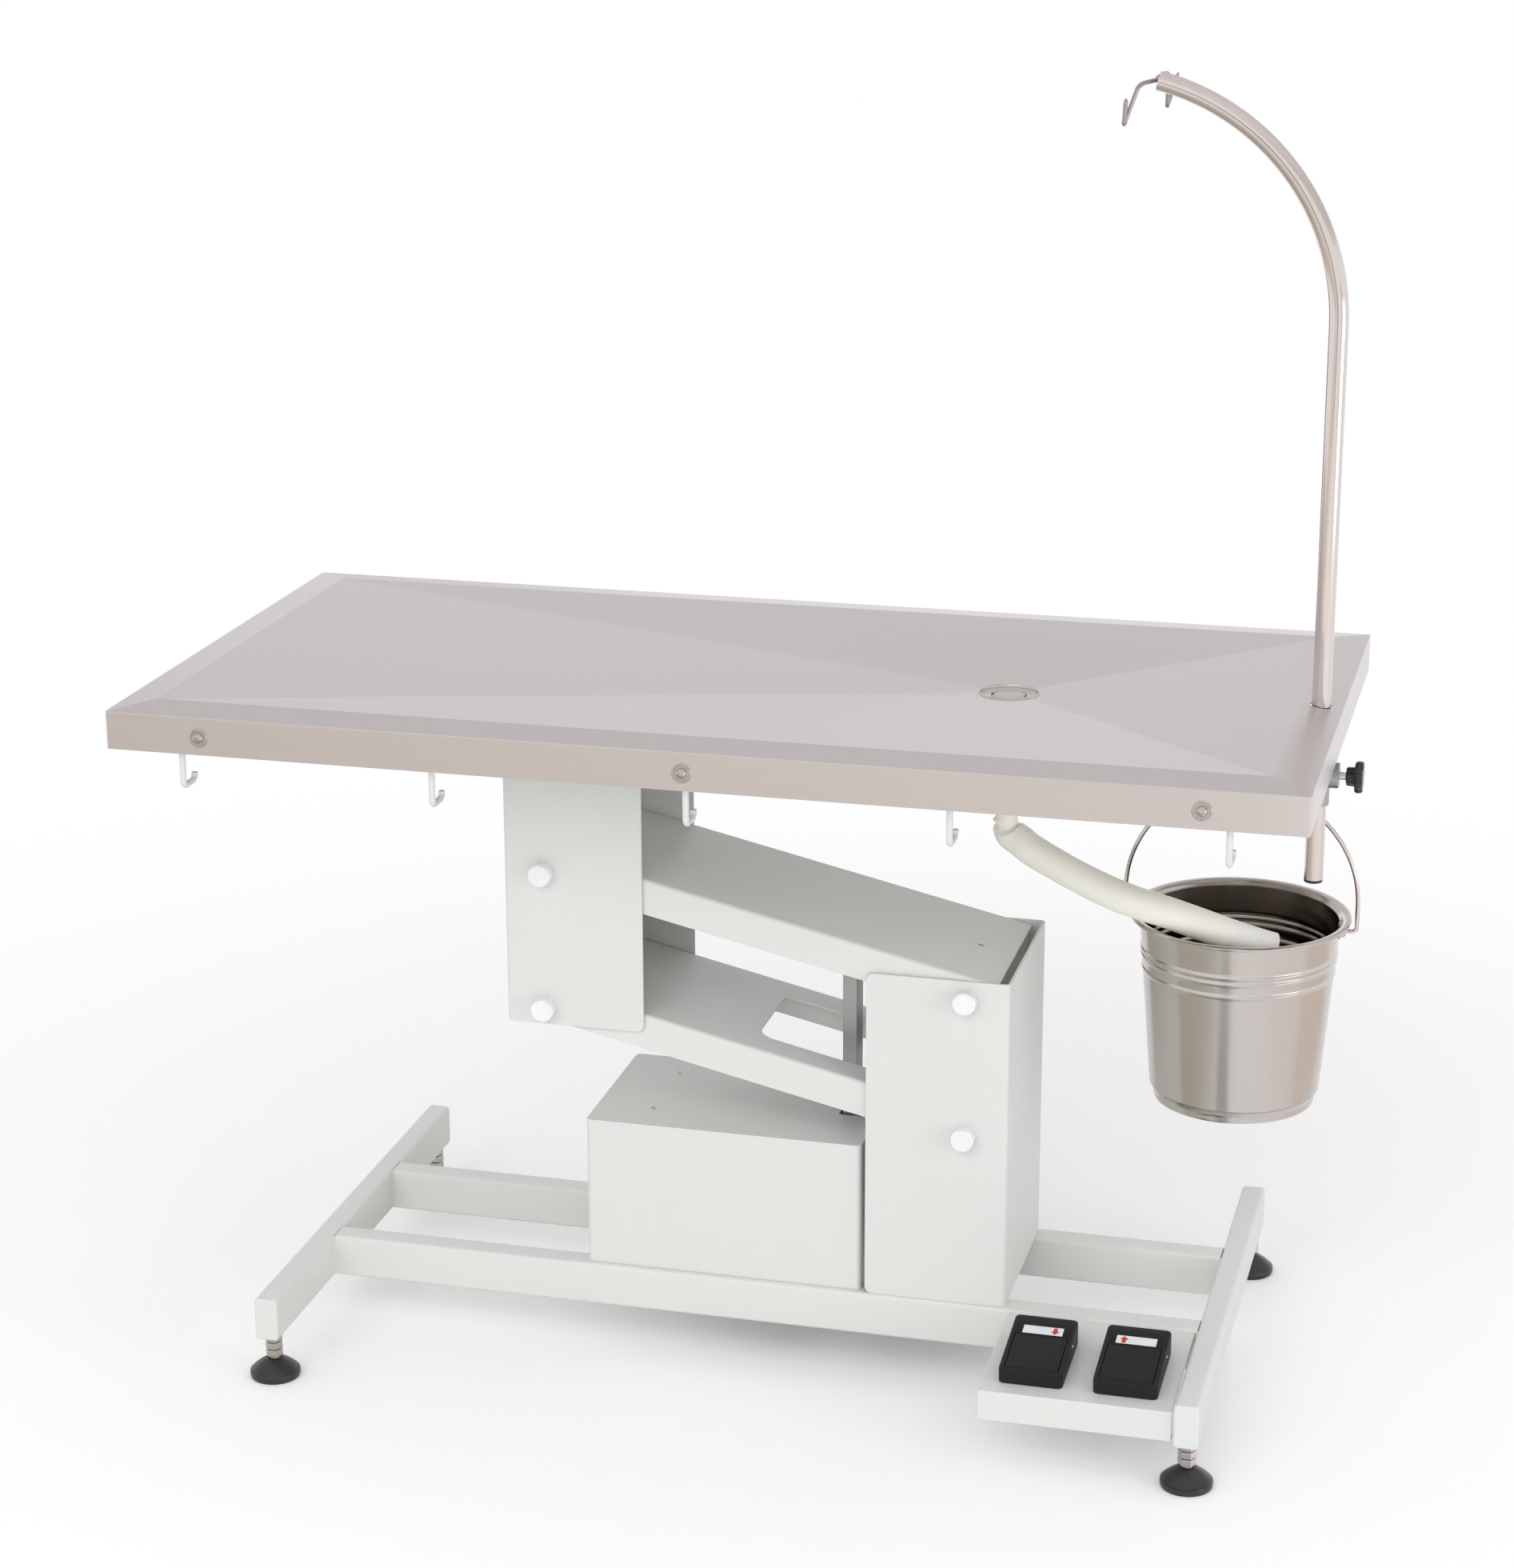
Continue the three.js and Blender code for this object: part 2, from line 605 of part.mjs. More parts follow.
// Head: the same channel turned round, closed above by the plate that carries the under-frame.
function addHead() {
  const height = headTop - headBottom;
  const holes = [lowerPivotZ, upperPivotZ].map((z) =>
    shaftHole(HEAD_DEPTH - headPivotInset, z + headRise - headBottom));
  const margin = HEAD_PLATE_MARGIN;
  const half = CHANNEL_WIDTH / 2 + margin;
  const plate = block([-margin, -half, height - HEAD_PLATE], [HEAD_DEPTH + margin, half, height]);
  const channel = cut(uprightChannel(HEAD_DEPTH, height), ...holes);
  const head = groupAt(headLeft + HEAD_DEPTH, 0, headBottom);
  add(head, 'head_bracket', join(channel, plate).rotateZ(Math.PI), PAINT);
  addPivot('lower_left', headPivotX, lowerPivotZ + headRise);
  addPivot('upper_left', headPivotX, upperPivotZ + headRise);
}

// Arm: a channel open below, its right pivot at the origin and its left one at -ARM_LENGTH.
function armChannel() {
  const section = channelSection(ARM_ABOVE + ARM_BELOW, armWidth, PLATE, BEND_RADIUS);
  const bar = push(section, backAlongX, -ARM_OVERHANG, ARM_LENGTH + ARM_OVERHANG);
  const arm = bar.translate(0, 0, -ARM_BELOW);
  return cut(arm, shaftHole(0, 0), shaftHole(-ARM_LENGTH, 0));
}

// Lug with a round end at height 0 for a pin along Y, reaching up or down to height z.
function pinLug(x, z, width, round, y0, y1) {
  const low = Math.min(z, -round);
  const high = Math.max(z, round);
  const corner = Math.min(round, width / 2) * 0.7;
  return pushY(roundedRectangle(x - width / 2, low, x + width / 2, high, corner), y0, y1);
}

function pinHole(x, z) {
  return rodAlong('y', PIN_RADIUS + FIT_GAP, -CHANNEL_WIDTH, CHANNEL_WIDTH, 20).translate(x, 0, z);
}

function addArms() {
  const upper = groupAt(columnPivotX, 0, upperPivotZ);
  upper.rotation.y = ARM_REST_ANGLE;
  const earTop = ARM_ABOVE - PLATE / 2;
  const ears = [[-earGap - EAR_THICKNESS, -earGap], [earGap, earGap + EAR_THICKNESS]].map(([y0, y1]) =>
    cut(pinLug(-rodReach, earTop, EAR_WIDTH, EAR_BELOW_PIN, y0, y1), pinHole(-rodReach, 0)));
  const topHole = rodAlong('z', ARM_HOLE_RADIUS, 0, 2 * ARM_ABOVE, 12).translate(-ARM_HOLE_INSET, 0, 0);
  add(upper, 'upper_arm', join(cut(armChannel(), topHole), ...ears), PAINT);
  const pinHalf = earGap + EAR_THICKNESS + PIN_OVERHANG;
  const topPin = rodAlong('y', PIN_RADIUS, -pinHalf, pinHalf).translate(-rodReach, 0, 0);
  add(upper, 'actuator_top_pin', topPin, NICKEL);

  const lower = groupAt(columnPivotX, 0, lowerPivotZ);
  lower.rotation.y = ARM_REST_ANGLE;
  const outline = roundedRectangle(
    -rodReach - CUTOUT_PAST_ROD, -CUTOUT_HALF_WIDTH,
    -rodReach + CUTOUT_BEFORE_ROD, CUTOUT_HALF_WIDTH, CUTOUT_CORNER,
  );
  add(lower, 'lower_arm', cut(armChannel(), push(outline, alongZ, 0, 2 * ARM_ABOVE)), PAINT);
}

// Actuator: pinned to the cross mount between the rails, its rod pinned to the upper arm.
function addActuator() {
  const foot = groupAt(rodX, 0, footPinZ);
  const span = RAIL_SPREAD / 2 - RAIL_WIDTH;
  const tongueGap = TONGUE_THICKNESS / 2 + ROD_SIDE_GAP;
  const barTop = -FOOT_PIN_RISE + TUBE_WALL + MOUNT_THICKNESS;
  const bar = block([-MOUNT_WIDTH / 2, -span, barTop - MOUNT_THICKNESS], [MOUNT_WIDTH / 2, span, barTop]);
  const mountEars = [[-tongueGap - EAR_THICKNESS, -tongueGap], [tongueGap, tongueGap + EAR_THICKNESS]].map(
    ([y0, y1]) => pinLug(0, barTop - MOUNT_THICKNESS / 2, TONGUE_WIDTH, EAR_BELOW_PIN, y0, y1),
  );
  const pinHalf = tongueGap + EAR_THICKNESS + PIN_OVERHANG;
  const footPin = rodAlong('y', PIN_RADIUS, -pinHalf, pinHalf, 20);
  add(foot, 'actuator_mount', join(bar, ...mountEars, footPin), PAINT);

  const boreX0 = ROD_SWAY_SHIFT - ROD_WIDTH / 2 - ROD_SWAY;
  const boreX1 = ROD_SWAY_SHIFT + ROD_WIDTH / 2 + ROD_SWAY;
  const boreY = ROD_DEPTH / 2 + ROD_SIDE_GAP;
  const [x0, x1, y1] = [boreX0 - HOUSING_WALL, boreX1 + HOUSING_WALL, boreY + HOUSING_WALL];
  const top = boxTop - BOX_SHEET - HOUSING_BOX_GAP - footPinZ;
  const motorX = x0 - MOTOR_GAP - MOTOR_RADIUS;
  const barrel = block([x0, -y1, HOUSING_FOOT], [x1, y1, top]);
  const gearCase = block(
    [motorX - MOTOR_RADIUS, -MOTOR_RADIUS, HOUSING_FOOT],
    [x0 + 1, MOTOR_RADIUS, HOUSING_FOOT + GEAR_CASE_HEIGHT],
  );
  const tongueHalf = TONGUE_THICKNESS / 2;
  const tongue = pinLug(0, HOUSING_FOOT + 1, TONGUE_WIDTH, EAR_BELOW_PIN, -tongueHalf, tongueHalf);
  const boreBottom = HOUSING_FOOT + HOUSING_FLOOR;
  const bore = block([boreX0, -boreY, boreBottom], [boreX1, boreY, top + 1]);
  add(foot, 'actuator_housing', cut(join(barrel, gearCase, tongue), bore, pinHole(0, 0)), GREY);
  const motorBottom = HOUSING_FOOT + GEAR_CASE_HEIGHT;
  const motor = turn([
    [0, motorBottom],
    [MOTOR_RADIUS, motorBottom],
    [MOTOR_RADIUS, motorBottom + MOTOR_HEIGHT - MOTOR_CHAMFER],
    [MOTOR_RADIUS - MOTOR_CHAMFER, motorBottom + MOTOR_HEIGHT],
    [0, motorBottom + MOTOR_HEIGHT],
  ], 24);
  add(foot, 'actuator_motor', motor.translate(motorX, 0, 0), BLACK);

  const rodBottom = footPinZ + boreBottom + ROD_TRAVEL_DOWN - rodPinZ;
  const [rodHalfX, rodHalfY] = [ROD_WIDTH / 2, ROD_DEPTH / 2];
  const rod = block([-rodHalfX, -rodHalfY, rodBottom], [rodHalfX, rodHalfY, ROD_ABOVE_PIN]);
  add(groupAt(rodX, 0, rodPinZ), 'actuator_rod', cut(rod, pinHole(0, 0)), STAINLESS);
}

// Box: folded cover open below, slotted for the rod and cut for the inlet, over a floor plate.
function addBox() {
  const half = BOX_WIDTH / 2;
  const wall = BOX_SHEET;
  const windowY = ROD_DEPTH / 2 + ROD_SIDE_GAP + HOUSING_WALL + WINDOW_GAP;
  const shell = cut(
    push(roundedRectangle(boxLeft, -half, boxRight, half, BOX_CORNER), alongZ, railTop, boxTop, 4),
    push(
      roundedRectangle(boxLeft + wall, -half + wall, boxRight - wall, half - wall, BOX_CORNER - wall),
      alongZ, railTop - 1, boxTop - wall, 4,
    ),
    block(
      [rodX - ROD_WIDTH / 2 - SLOT_SIDE_GAP, -ROD_DEPTH / 2 - SLOT_SIDE_GAP, boxTop - 2 * wall],
      [boxRight + 1, ROD_DEPTH / 2 + SLOT_SIDE_GAP, boxTop + 1],
    ),
    block([boxRight - 2 * wall, -windowY, railTop - 1], [boxRight + 1, windowY, boxTop - wall]),
    inletBody(half - 2 * wall, half + 1, FIT_GAP),
  );
  const cover = groupAt(0, 0, 0);
  add(cover, 'box_cover', shell, PAINT);
  const inletFlange = inletBody(half, half + INLET_FLANGE_THICKNESS, INLET_FLANGE);
  const socket = inletBody(half - INLET_DEPTH + wall, half + INLET_FLANGE_THICKNESS + 1, -INLET_WALL);
  const inlet = cut(join(inletFlange, inletBody(half - INLET_DEPTH, half + 1, 0)), socket);
  add(cover, 'power_inlet', inlet, BLACK);
  const floorLeft = boxLeft + wall + FIT_GAP;
  const floorHalf = half - wall - FIT_GAP;
  const floorTop = railTop + BOX_FLOOR_THICKNESS;
  const floor = roundedRectangle(floorLeft, -floorHalf, floorLeft + BOX_FLOOR_LENGTH, floorHalf, BOX_CORNER);
  add(cover, 'box_floor', push(floor, alongZ, railTop, floorTop, 4), PAINT);
  const unitX = floorLeft + UNIT_INSET;
  const unit = roundedRectangle(unitX, -UNIT_WIDTH / 2, unitX + UNIT_LENGTH, UNIT_WIDTH / 2, UNIT_CORNER);
  add(cover, 'control_unit', push(unit, alongZ, floorTop, floorTop + UNIT_HEIGHT, 4), BLACK);
}

function inletX() {
  return boxLeft + INLET_INSET;
}

function inletZ() {
  return railTop + INLET_RISE;
}

// The inlet's rectangular body, or with a margin the hole around it.
function inletBody(y0, y1, margin) {
  return block(
    [inletX() - INLET_LENGTH / 2 - margin, y0, inletZ() - INLET_HEIGHT / 2 - margin],
    [inletX() + INLET_LENGTH / 2 + margin, y1, inletZ() + INLET_HEIGHT / 2 + margin],
  );
}

// Points of a rectangle, four to a side and its corners first, or of a circle seen at the same corners.
function rectangleRing(halfX, halfY, z) {
  const corners = [[-halfX, -halfY], [halfX, -halfY], [halfX, halfY], [-halfX, halfY]];
  return corners.flatMap(([x, y], i) => {
    const [nextX, nextY] = corners[(i + 1) % 4];
    return [0, 1, 2, 3].map((k) => [x + ((nextX - x) * k) / 4, y + ((nextY - y) * k) / 4, z]);
  });
}

function circleRing(corners, centreX, radius, z) {
  const angles = [0, 4, 8, 12].map((i) => Math.atan2(corners[i][1], corners[i][0] - centreX));
  return angles.flatMap((angle, i) => {
    const next = angles[(i + 1) % 4];
    const sweep = (next - angle + 4 * Math.PI) % (2 * Math.PI);
    return [0, 1, 2, 3].map((k) => {
      const a = angle + (sweep * k) / 4;
      return [centreX + radius * Math.cos(a), radius * Math.sin(a), z];
    });
  });
}

// Pan: apron, rim rising to a ridge and four facets that fall to the drain, one sheet thick and open below.
function tablePan() {
  const [endX, endY] = [TABLE_LENGTH / 2, TABLE_WIDTH / 2];
  const [inX, inY] = [endX - PAN_SHEET, endY - PAN_SHEET];
  const ridge = rectangleRing(endX - RIM_END_WIDTH, endY - RIM_SIDE_WIDTH, RIM_RISE);
  const under = rectangleRing(endX - RIM_END_WIDTH, endY - RIM_SIDE_WIDTH, RIM_RISE - PAN_SHEET);
  const drainZ = RIM_RISE - PAN_FALL;
  const sheet = loft([
    rectangleRing(endX, endY, -APRON_HEIGHT),
    rectangleRing(endX, endY, 0),
    ridge,
    circleRing(ridge, drainX, DRAIN_HOLE_RADIUS, drainZ),
    circleRing(under, drainX, DRAIN_HOLE_RADIUS, drainZ - PAN_SHEET),
    under,
    rectangleRing(inX, inY, -PAN_SHEET),
    rectangleRing(inX, inY, -APRON_HEIGHT),
  ]);
  const poleHole = rodAlong('z', POLE_RADIUS + 2 * FIT_GAP, -2 * PAN_SHEET, 2 * RIM_RISE);
  return cut(sheet, poleHole.translate(poleX - tableX, 0, 0));
}

// Tie hook: down from the frame, then inwards with its tip turned up.
function tieHook(x) {
  const bend = 2 * HOOK_WIRE;
  return tube([
    [x, 0, 1],
    [x, 0, -HOOK_DROP / 2],
    [x, 0, -HOOK_DROP + bend],
    [x, bend * 0.3, -HOOK_DROP + bend * 0.3],
    [x, bend, -HOOK_DROP],
    [x, HOOK_REACH - bend, -HOOK_DROP],
    [x, HOOK_REACH - bend * 0.3, -HOOK_DROP + bend * 0.3],
    [x, HOOK_REACH, -HOOK_DROP + HOOK_TIP_RISE],
  ], HOOK_WIRE, 6, 9);
}

function frameTube(halfWidth, height) {
  const section = polygon([[-halfWidth, 0], [halfWidth, 0], [halfWidth, height], [-halfWidth, height]]);
  const inner = halfWidth - FRAME_WALL;
  section.holes.push(polygon([
    [-inner, FRAME_WALL], [inner, FRAME_WALL], [inner, height - FRAME_WALL], [-inner, height - FRAME_WALL],
  ]));
  return section;
}

// Side tube of the under-frame with its welded tie hooks.
function sideTube() {
  const bar = push(frameTube(FRAME_WIDTH / 2, FRAME_HEIGHT), alongX, -frameX, frameX);
  const offset = HOOK_INSET - PAN_SHEET - FIT_GAP - FRAME_WIDTH / 2;
  const hooks = HOOK_OFFSETS.map((x) => tieHook(x).translate(0, offset, 0));
  return join(bar, ...hooks);
}

function crossTube() {
  const reach = frameY - FRAME_WIDTH;
  return pushY(frameTube(FRAME_WIDTH / 2, CROSS_HEIGHT), -reach, reach);
}

// Hook that the bucket's bail hangs on, welded under its cross tube.
function bucketHook() {
  const points = [[0, BUCKET_HOOK_BEND, 1], [0, BUCKET_HOOK_BEND, -BUCKET_HOOK_DROP / 2]];
  for (let i = 0; i <= 6; i += 1) {
    const angle = (-Math.PI * i) / 6;
    const [y, z] = [BUCKET_HOOK_BEND * Math.cos(angle), BUCKET_HOOK_BEND * Math.sin(angle)];
    points.push([0, y, z - BUCKET_HOOK_DROP]);
  }
  points.push([0, -BUCKET_HOOK_BEND - BUCKET_HOOK_FLARE, -BUCKET_HOOK_DROP + BUCKET_HOOK_BEND]);
  return tube(points, BUCKET_HOOK_WIRE, 8, 14);
}

function addTable() {
  add(groupAt(tableX, 0, panTop), 'table_pan', tablePan(), STAINLESS);
  const sideY = frameY - FRAME_WIDTH / 2;
  add(groupAt(tableX, -sideY, headTop), 'frame_front', sideTube(), PAINT);
  add(groupAt(tableX, sideY, headTop), 'frame_back', sideTube().rotateZ(Math.PI), PAINT);
  const barY = frameY - FRAME_WIDTH;
  for (const [side, x] of [['left', -frameX], ['right', frameX - END_BAR]]) {
    const bar = block([x, -barY, 0], [x + END_BAR, barY, FRAME_HEIGHT]);
    add(groupAt(tableX, 0, headTop), `frame_end_${side}`, bar, PAINT);
  }
  add(groupAt(headLeft + CROSS_INSET, 0, headTop), 'frame_cross_left', crossTube(), PAINT);
  add(groupAt(headLeft + HEAD_DEPTH - CROSS_INSET, 0, headTop), 'frame_cross_right', crossTube(), PAINT);
  const withHook = join(crossTube(), bucketHook().translate(0, BUCKET_Y, 0));
  add(groupAt(bucketX, 0, headTop), 'frame_cross_bucket', withHook, PAINT);
}

// Drain: flange and body through the pan, tail pipe, loose cover and elbow.
function addDrain() {
  const drainZ = panTop + RIM_RISE - PAN_FALL;
  const drain = groupAt(tableX + drainX, 0, drainZ);
  const bodyRadius = DRAIN_HOLE_RADIUS * Math.cos(Math.PI / 8) - 2 * FIT_GAP;
  const flange = DRAIN_FLANGE_LIFT;
  const recess = DRAIN_COVER_RADIUS + FIT_GAP;
  const ledge = flange + DRAIN_FLANGE / 2 - DRAIN_COVER - FIT_GAP;
  add(drain, 'drain_body', turn([
    [DRAIN_PIPE_BORE, -DRAIN_PIPE_DROP],
    [DRAIN_PIPE_RADIUS, -DRAIN_PIPE_DROP],
    [DRAIN_PIPE_RADIUS, -DRAIN_BODY_DEPTH - DRAIN_CONE],
    [bodyRadius, -DRAIN_BODY_DEPTH],
    [bodyRadius, flange],
    [DRAIN_FLANGE_RADIUS, flange],
    [DRAIN_FLANGE_RADIUS, flange + DRAIN_FLANGE * 0.4],
    [DRAIN_FLANGE_RADIUS - DRAIN_FLANGE_EDGE, flange + DRAIN_FLANGE],
    [recess, flange + DRAIN_FLANGE / 2],
    [recess, ledge],
    [DRAIN_PIPE_BORE, ledge],
    [DRAIN_PIPE_BORE, -DRAIN_PIPE_DROP],
  ]), STAINLESS);
  const coverBottom = ledge + FIT_GAP;
  add(drain, 'drain_cover', turn([
    [0, coverBottom],
    [DRAIN_COVER_RADIUS, coverBottom],
    [DRAIN_COVER_RADIUS, coverBottom + DRAIN_COVER - DRAIN_COVER_EDGE / 2],
    [DRAIN_COVER_RADIUS - DRAIN_COVER_EDGE, coverBottom + DRAIN_COVER],
    [0, coverBottom + DRAIN_COVER],
  ]), STAINLESS);
  const start = new THREE.Vector3(0, 0, drainZ - DRAIN_PIPE_DROP - FIT_GAP);
  const [first, second] = HOSE_POINTS.map((p) => new THREE.Vector3(...p));
  const heading = second.clone().sub(first).normalize();
  const end = first.clone().addScaledVector(heading, -FIT_GAP);
  const knee = end.clone().addScaledVector(heading, -ELBOW_RADIUS);
  const fall = new THREE.Vector3(0, 0, (start.z + knee.z) / 2 + ELBOW_LIFT);
  const route = [start, fall, knee, end].map((p) => p.toArray());
  const elbow = tube(route, ELBOW_RADIUS, 12, 7, ELBOW_BORE);
  add(groupAt(tableX + drainX, 0, 0), 'drain_elbow', elbow, CREAM);
}

// Free hose from the elbow over the bucket's rim and into the bucket.
function addHose() {
  add(groupAt(tableX + drainX, 0, 0), 'drain_hose', tube(HOSE_POINTS, HOSE_RADIUS, 12, HOSE_STEPS), CREAM);
}

// Middle line of the pole, from its foot up the straight and round the bend, seen from the pole's axis.
function poleLine() {
  const points = [];
  const straightSteps = 6;
  for (let i = 0; i < straightSteps; i += 1) points.push([0, 0, (POLE_STRAIGHT * i) / straightSteps]);
  for (let i = 0; i <= POLE_BEND_STEPS; i += 1) {
    const angle = (POLE_BEND_ANGLE * i) / POLE_BEND_STEPS;
    points.push([
      -POLE_BEND_RADIUS * (1 - Math.cos(angle)), 0, POLE_STRAIGHT + POLE_BEND_RADIUS * Math.sin(angle),
    ]);
  }
  return points;
}

// Where the cross wire goes through the pole, near its tip.
function dripHole() {
  const angle = POLE_BEND_ANGLE - DRIP_HOLE_INSET / POLE_BEND_RADIUS;
  const x = -POLE_BEND_RADIUS * (1 - Math.cos(angle));
  return [x, POLE_STRAIGHT + POLE_BEND_RADIUS * Math.sin(angle)];
}

// Cross wire through the pole's tip, with a hook at each end.
function dripHook() {
  const [x, z] = dripHole();
  const front = DRIP_HALF.map(([dx, dy, dz]) => [x + dx, -dy, z + dz]);
  const back = DRIP_HALF.map(([dx, dy, dz]) => [x - dx * DRIP_BACK_SWING, dy, z + dz]).reverse();
  return tube([...back, [x, 0, z], ...front], DRIP_WIRE, 6, 34);
}

function addPole() {
  const foot = headTop - POLE_BOTTOM_DROP;
  const pole = groupAt(poleX, 0, foot);
  const bore = POLE_RADIUS - POLE_WALL;
  const [holeX, holeZ] = dripHole();
  const wireHole = rodAlong('y', DRIP_WIRE + 2 * FIT_GAP, -2 * POLE_RADIUS, 2 * POLE_RADIUS, 12);
  wireHole.translate(holeX, 0, holeZ);
  add(pole, 'pole', cut(tube(poleLine(), POLE_RADIUS, 12, 24, bore), wireHole), POLISHED);
  add(pole, 'drip_hook', dripHook(), POLISHED);
  add(pole, 'pole_plug', turn([
    [0, -PLUG_HEAD - FIT_GAP],
    [POLE_RADIUS - 1, -PLUG_HEAD - FIT_GAP],
    [POLE_RADIUS, -PLUG_HEAD - FIT_GAP + 1],
    [POLE_RADIUS, -FIT_GAP],
    [bore - 2 * FIT_GAP, -FIT_GAP],
    [bore - 2 * FIT_GAP, PLUG_STEM],
    [0, PLUG_STEM],
  ], 20), BLACK);

  const sleeveFoot = headTop - SLEEVE_DROP;
  const sleeveTop = SLEEVE_DROP + FRAME_HEIGHT - FIT_GAP;
  const sleeve = groupAt(poleX, 0, sleeveFoot);
  const blank = join(
    rodAlong('z', SLEEVE_RADIUS, 0, sleeveTop),
    rodAlong('x', BOSS_RADIUS, 0, BOSS_REACH).translate(0, 0, BOSS_RISE),
  );
  const body = cut(
    blank,
    rodAlong('z', POLE_RADIUS + 2 * FIT_GAP, -1, sleeveTop + 1),
    rodAlong('x', SCREW_RADIUS + FIT_GAP, 0, BOSS_REACH + 1, 16).translate(0, 0, BOSS_RISE),
  );
  add(sleeve, 'pole_sleeve', body, GREY);
  const screwTip = POLE_RADIUS + FIT_GAP;
  const screw = rodAlong('x', SCREW_RADIUS, screwTip, KNOB_REACH - FIT_GAP, 16);
  add(sleeve, 'clamp_screw', screw.translate(0, 0, BOSS_RISE), NICKEL);
  add(sleeve, 'clamp_knob', starKnob().translate(KNOB_REACH, 0, BOSS_RISE), BLACK);
}

// Star knob about X, its hub towards the screw.
function starKnob() {
  const shape = new THREE.Shape();
  const count = KNOB_LOBES * 6;
  for (let i = 0; i < count; i += 1) {
    const angle = (2 * Math.PI * i) / count;
    const radius = KNOB_RADIUS - KNOB_LOBE_DEPTH * (1 - Math.cos(KNOB_LOBES * angle)) / 2;
    const point = [radius * Math.cos(angle), radius * Math.sin(angle)];
    if (i === 0) shape.moveTo(...point);
    else shape.lineTo(...point);
  }
  shape.closePath();
  const disc = push(shape, alongX, KNOB_HUB_LENGTH - 1, KNOB_HUB_LENGTH + KNOB_THICKNESS);
  return join(disc, rodAlong('x', KNOB_HUB_RADIUS, 0, KNOB_HUB_LENGTH, 20));
}

// Radius of the bucket's outside at a depth below its rim.
function bucketRadius(depth) {
  const share = depth / (BUCKET_HEIGHT - BUCKET_BASE);
  return BUCKET_TOP_RADIUS + (BUCKET_BOTTOM_RADIUS - BUCKET_TOP_RADIUS) * share;
}

function bucketShell() {
  const wall = BUCKET_WALL;
  const beads = BEAD_DEPTHS.flatMap((depth) => [
    [bucketRadius(depth - 2 * BEAD_SIZE), -depth + 2 * BEAD_SIZE],
    [bucketRadius(depth) + BEAD_SIZE, -depth],
    [bucketRadius(depth + 2 * BEAD_SIZE), -depth - 2 * BEAD_SIZE],
  ]);
  const wallFoot = -BUCKET_HEIGHT + BUCKET_BASE;
  const outer = [
    [BUCKET_BASE_RADIUS, -BUCKET_HEIGHT],
    [BUCKET_BASE_RADIUS, wallFoot],
    [BUCKET_BOTTOM_RADIUS, wallFoot + BUCKET_FOOT_ROUND],
    ...beads.slice().reverse(),
    [bucketRadius(BUCKET_RIM), -BUCKET_RIM],
    [BUCKET_RIM_RADIUS - BUCKET_RIM_ROUND, -BUCKET_RIM],
    [BUCKET_RIM_RADIUS, -BUCKET_RIM / 2],
    [BUCKET_RIM_RADIUS - BUCKET_RIM_ROUND, 0],
    [BUCKET_TOP_RADIUS - wall, 0],
  ];
  const inner = [
    ...beads.map(([r, z]) => [r - wall, z]),
    [BUCKET_BOTTOM_RADIUS - wall, wallFoot + BUCKET_FOOT_ROUND],
    [BUCKET_BASE_RADIUS - wall, wallFoot],
    [0, wallFoot],
    [0, wallFoot - wall],
    [BUCKET_BASE_RADIUS - wall, wallFoot - wall],
    [BUCKET_BASE_RADIUS - wall, -BUCKET_HEIGHT],
    [BUCKET_BASE_RADIUS, -BUCKET_HEIGHT],
  ];
  return turn([...outer, ...inner], 28);
}

// Bucket with a drilled ear on each side, and the bail whose ends turn in the ears.
function addBucket() {
  const hookZ = headTop - BUCKET_HOOK_DROP - BUCKET_HOOK_BEND + BUCKET_HOOK_WIRE;
  const bailTop = hookZ + FIT_GAP + BAIL_WIRE;
  const rimZ = bailTop - BAIL_RISE + EAR_DROP;
  const bucket = groupAt(bucketX, BUCKET_Y, rimZ);
  const earIn = bucketRadius(EAR_DROP) - BUCKET_WALL / 2;
  const ears = [-1, 1].map((side) => {
    const ear = rodAlong('x', BUCKET_EAR_RADIUS, earIn - 1, earIn + BUCKET_EAR, 16);
    return ear.rotateZ(side > 0 ? 0 : Math.PI).translate(0, 0, -EAR_DROP);
  });
  const holes = [-1, 1].map((side) => rodAlong(
    'x', BAIL_WIRE + FIT_GAP, side > 0 ? earIn + BUCKET_EAR_FLOOR : -earIn - BUCKET_EAR - 1,
    side > 0 ? earIn + BUCKET_EAR + 1 : -earIn - BUCKET_EAR_FLOOR, 12,
  ).translate(0, 0, -EAR_DROP));
  add(bucket, 'bucket', cut(join(bucketShell(), ...ears), ...holes), POLISHED);

  const straight = BAIL_RISE - BAIL_HALF_WIDTH;
  const half = [
    [BAIL_HALF_WIDTH - BAIL_PIN_REACH, 0],
    [BAIL_HALF_WIDTH - BAIL_CORNER, 0],
    [BAIL_HALF_WIDTH - BAIL_CORNER * 0.3, BAIL_CORNER * 0.3],
    [BAIL_HALF_WIDTH, BAIL_CORNER],
  ];
  for (let i = 0; i < 8; i += 1) {
    const angle = (Math.PI / 2) * (i / 8);
    half.push([BAIL_HALF_WIDTH * Math.cos(angle), straight + BAIL_HALF_WIDTH * Math.sin(angle)]);
  }
  const right = half.map(([x, z]) => [x, 0, z - EAR_DROP]);
  const left = half.map(([x, z]) => [-x, 0, z - EAR_DROP]).reverse();
  add(bucket, 'bail', tube([...right, [0, 0, BAIL_RISE - EAR_DROP], ...left], BAIL_WIRE, 6, 36), POLISHED);
}

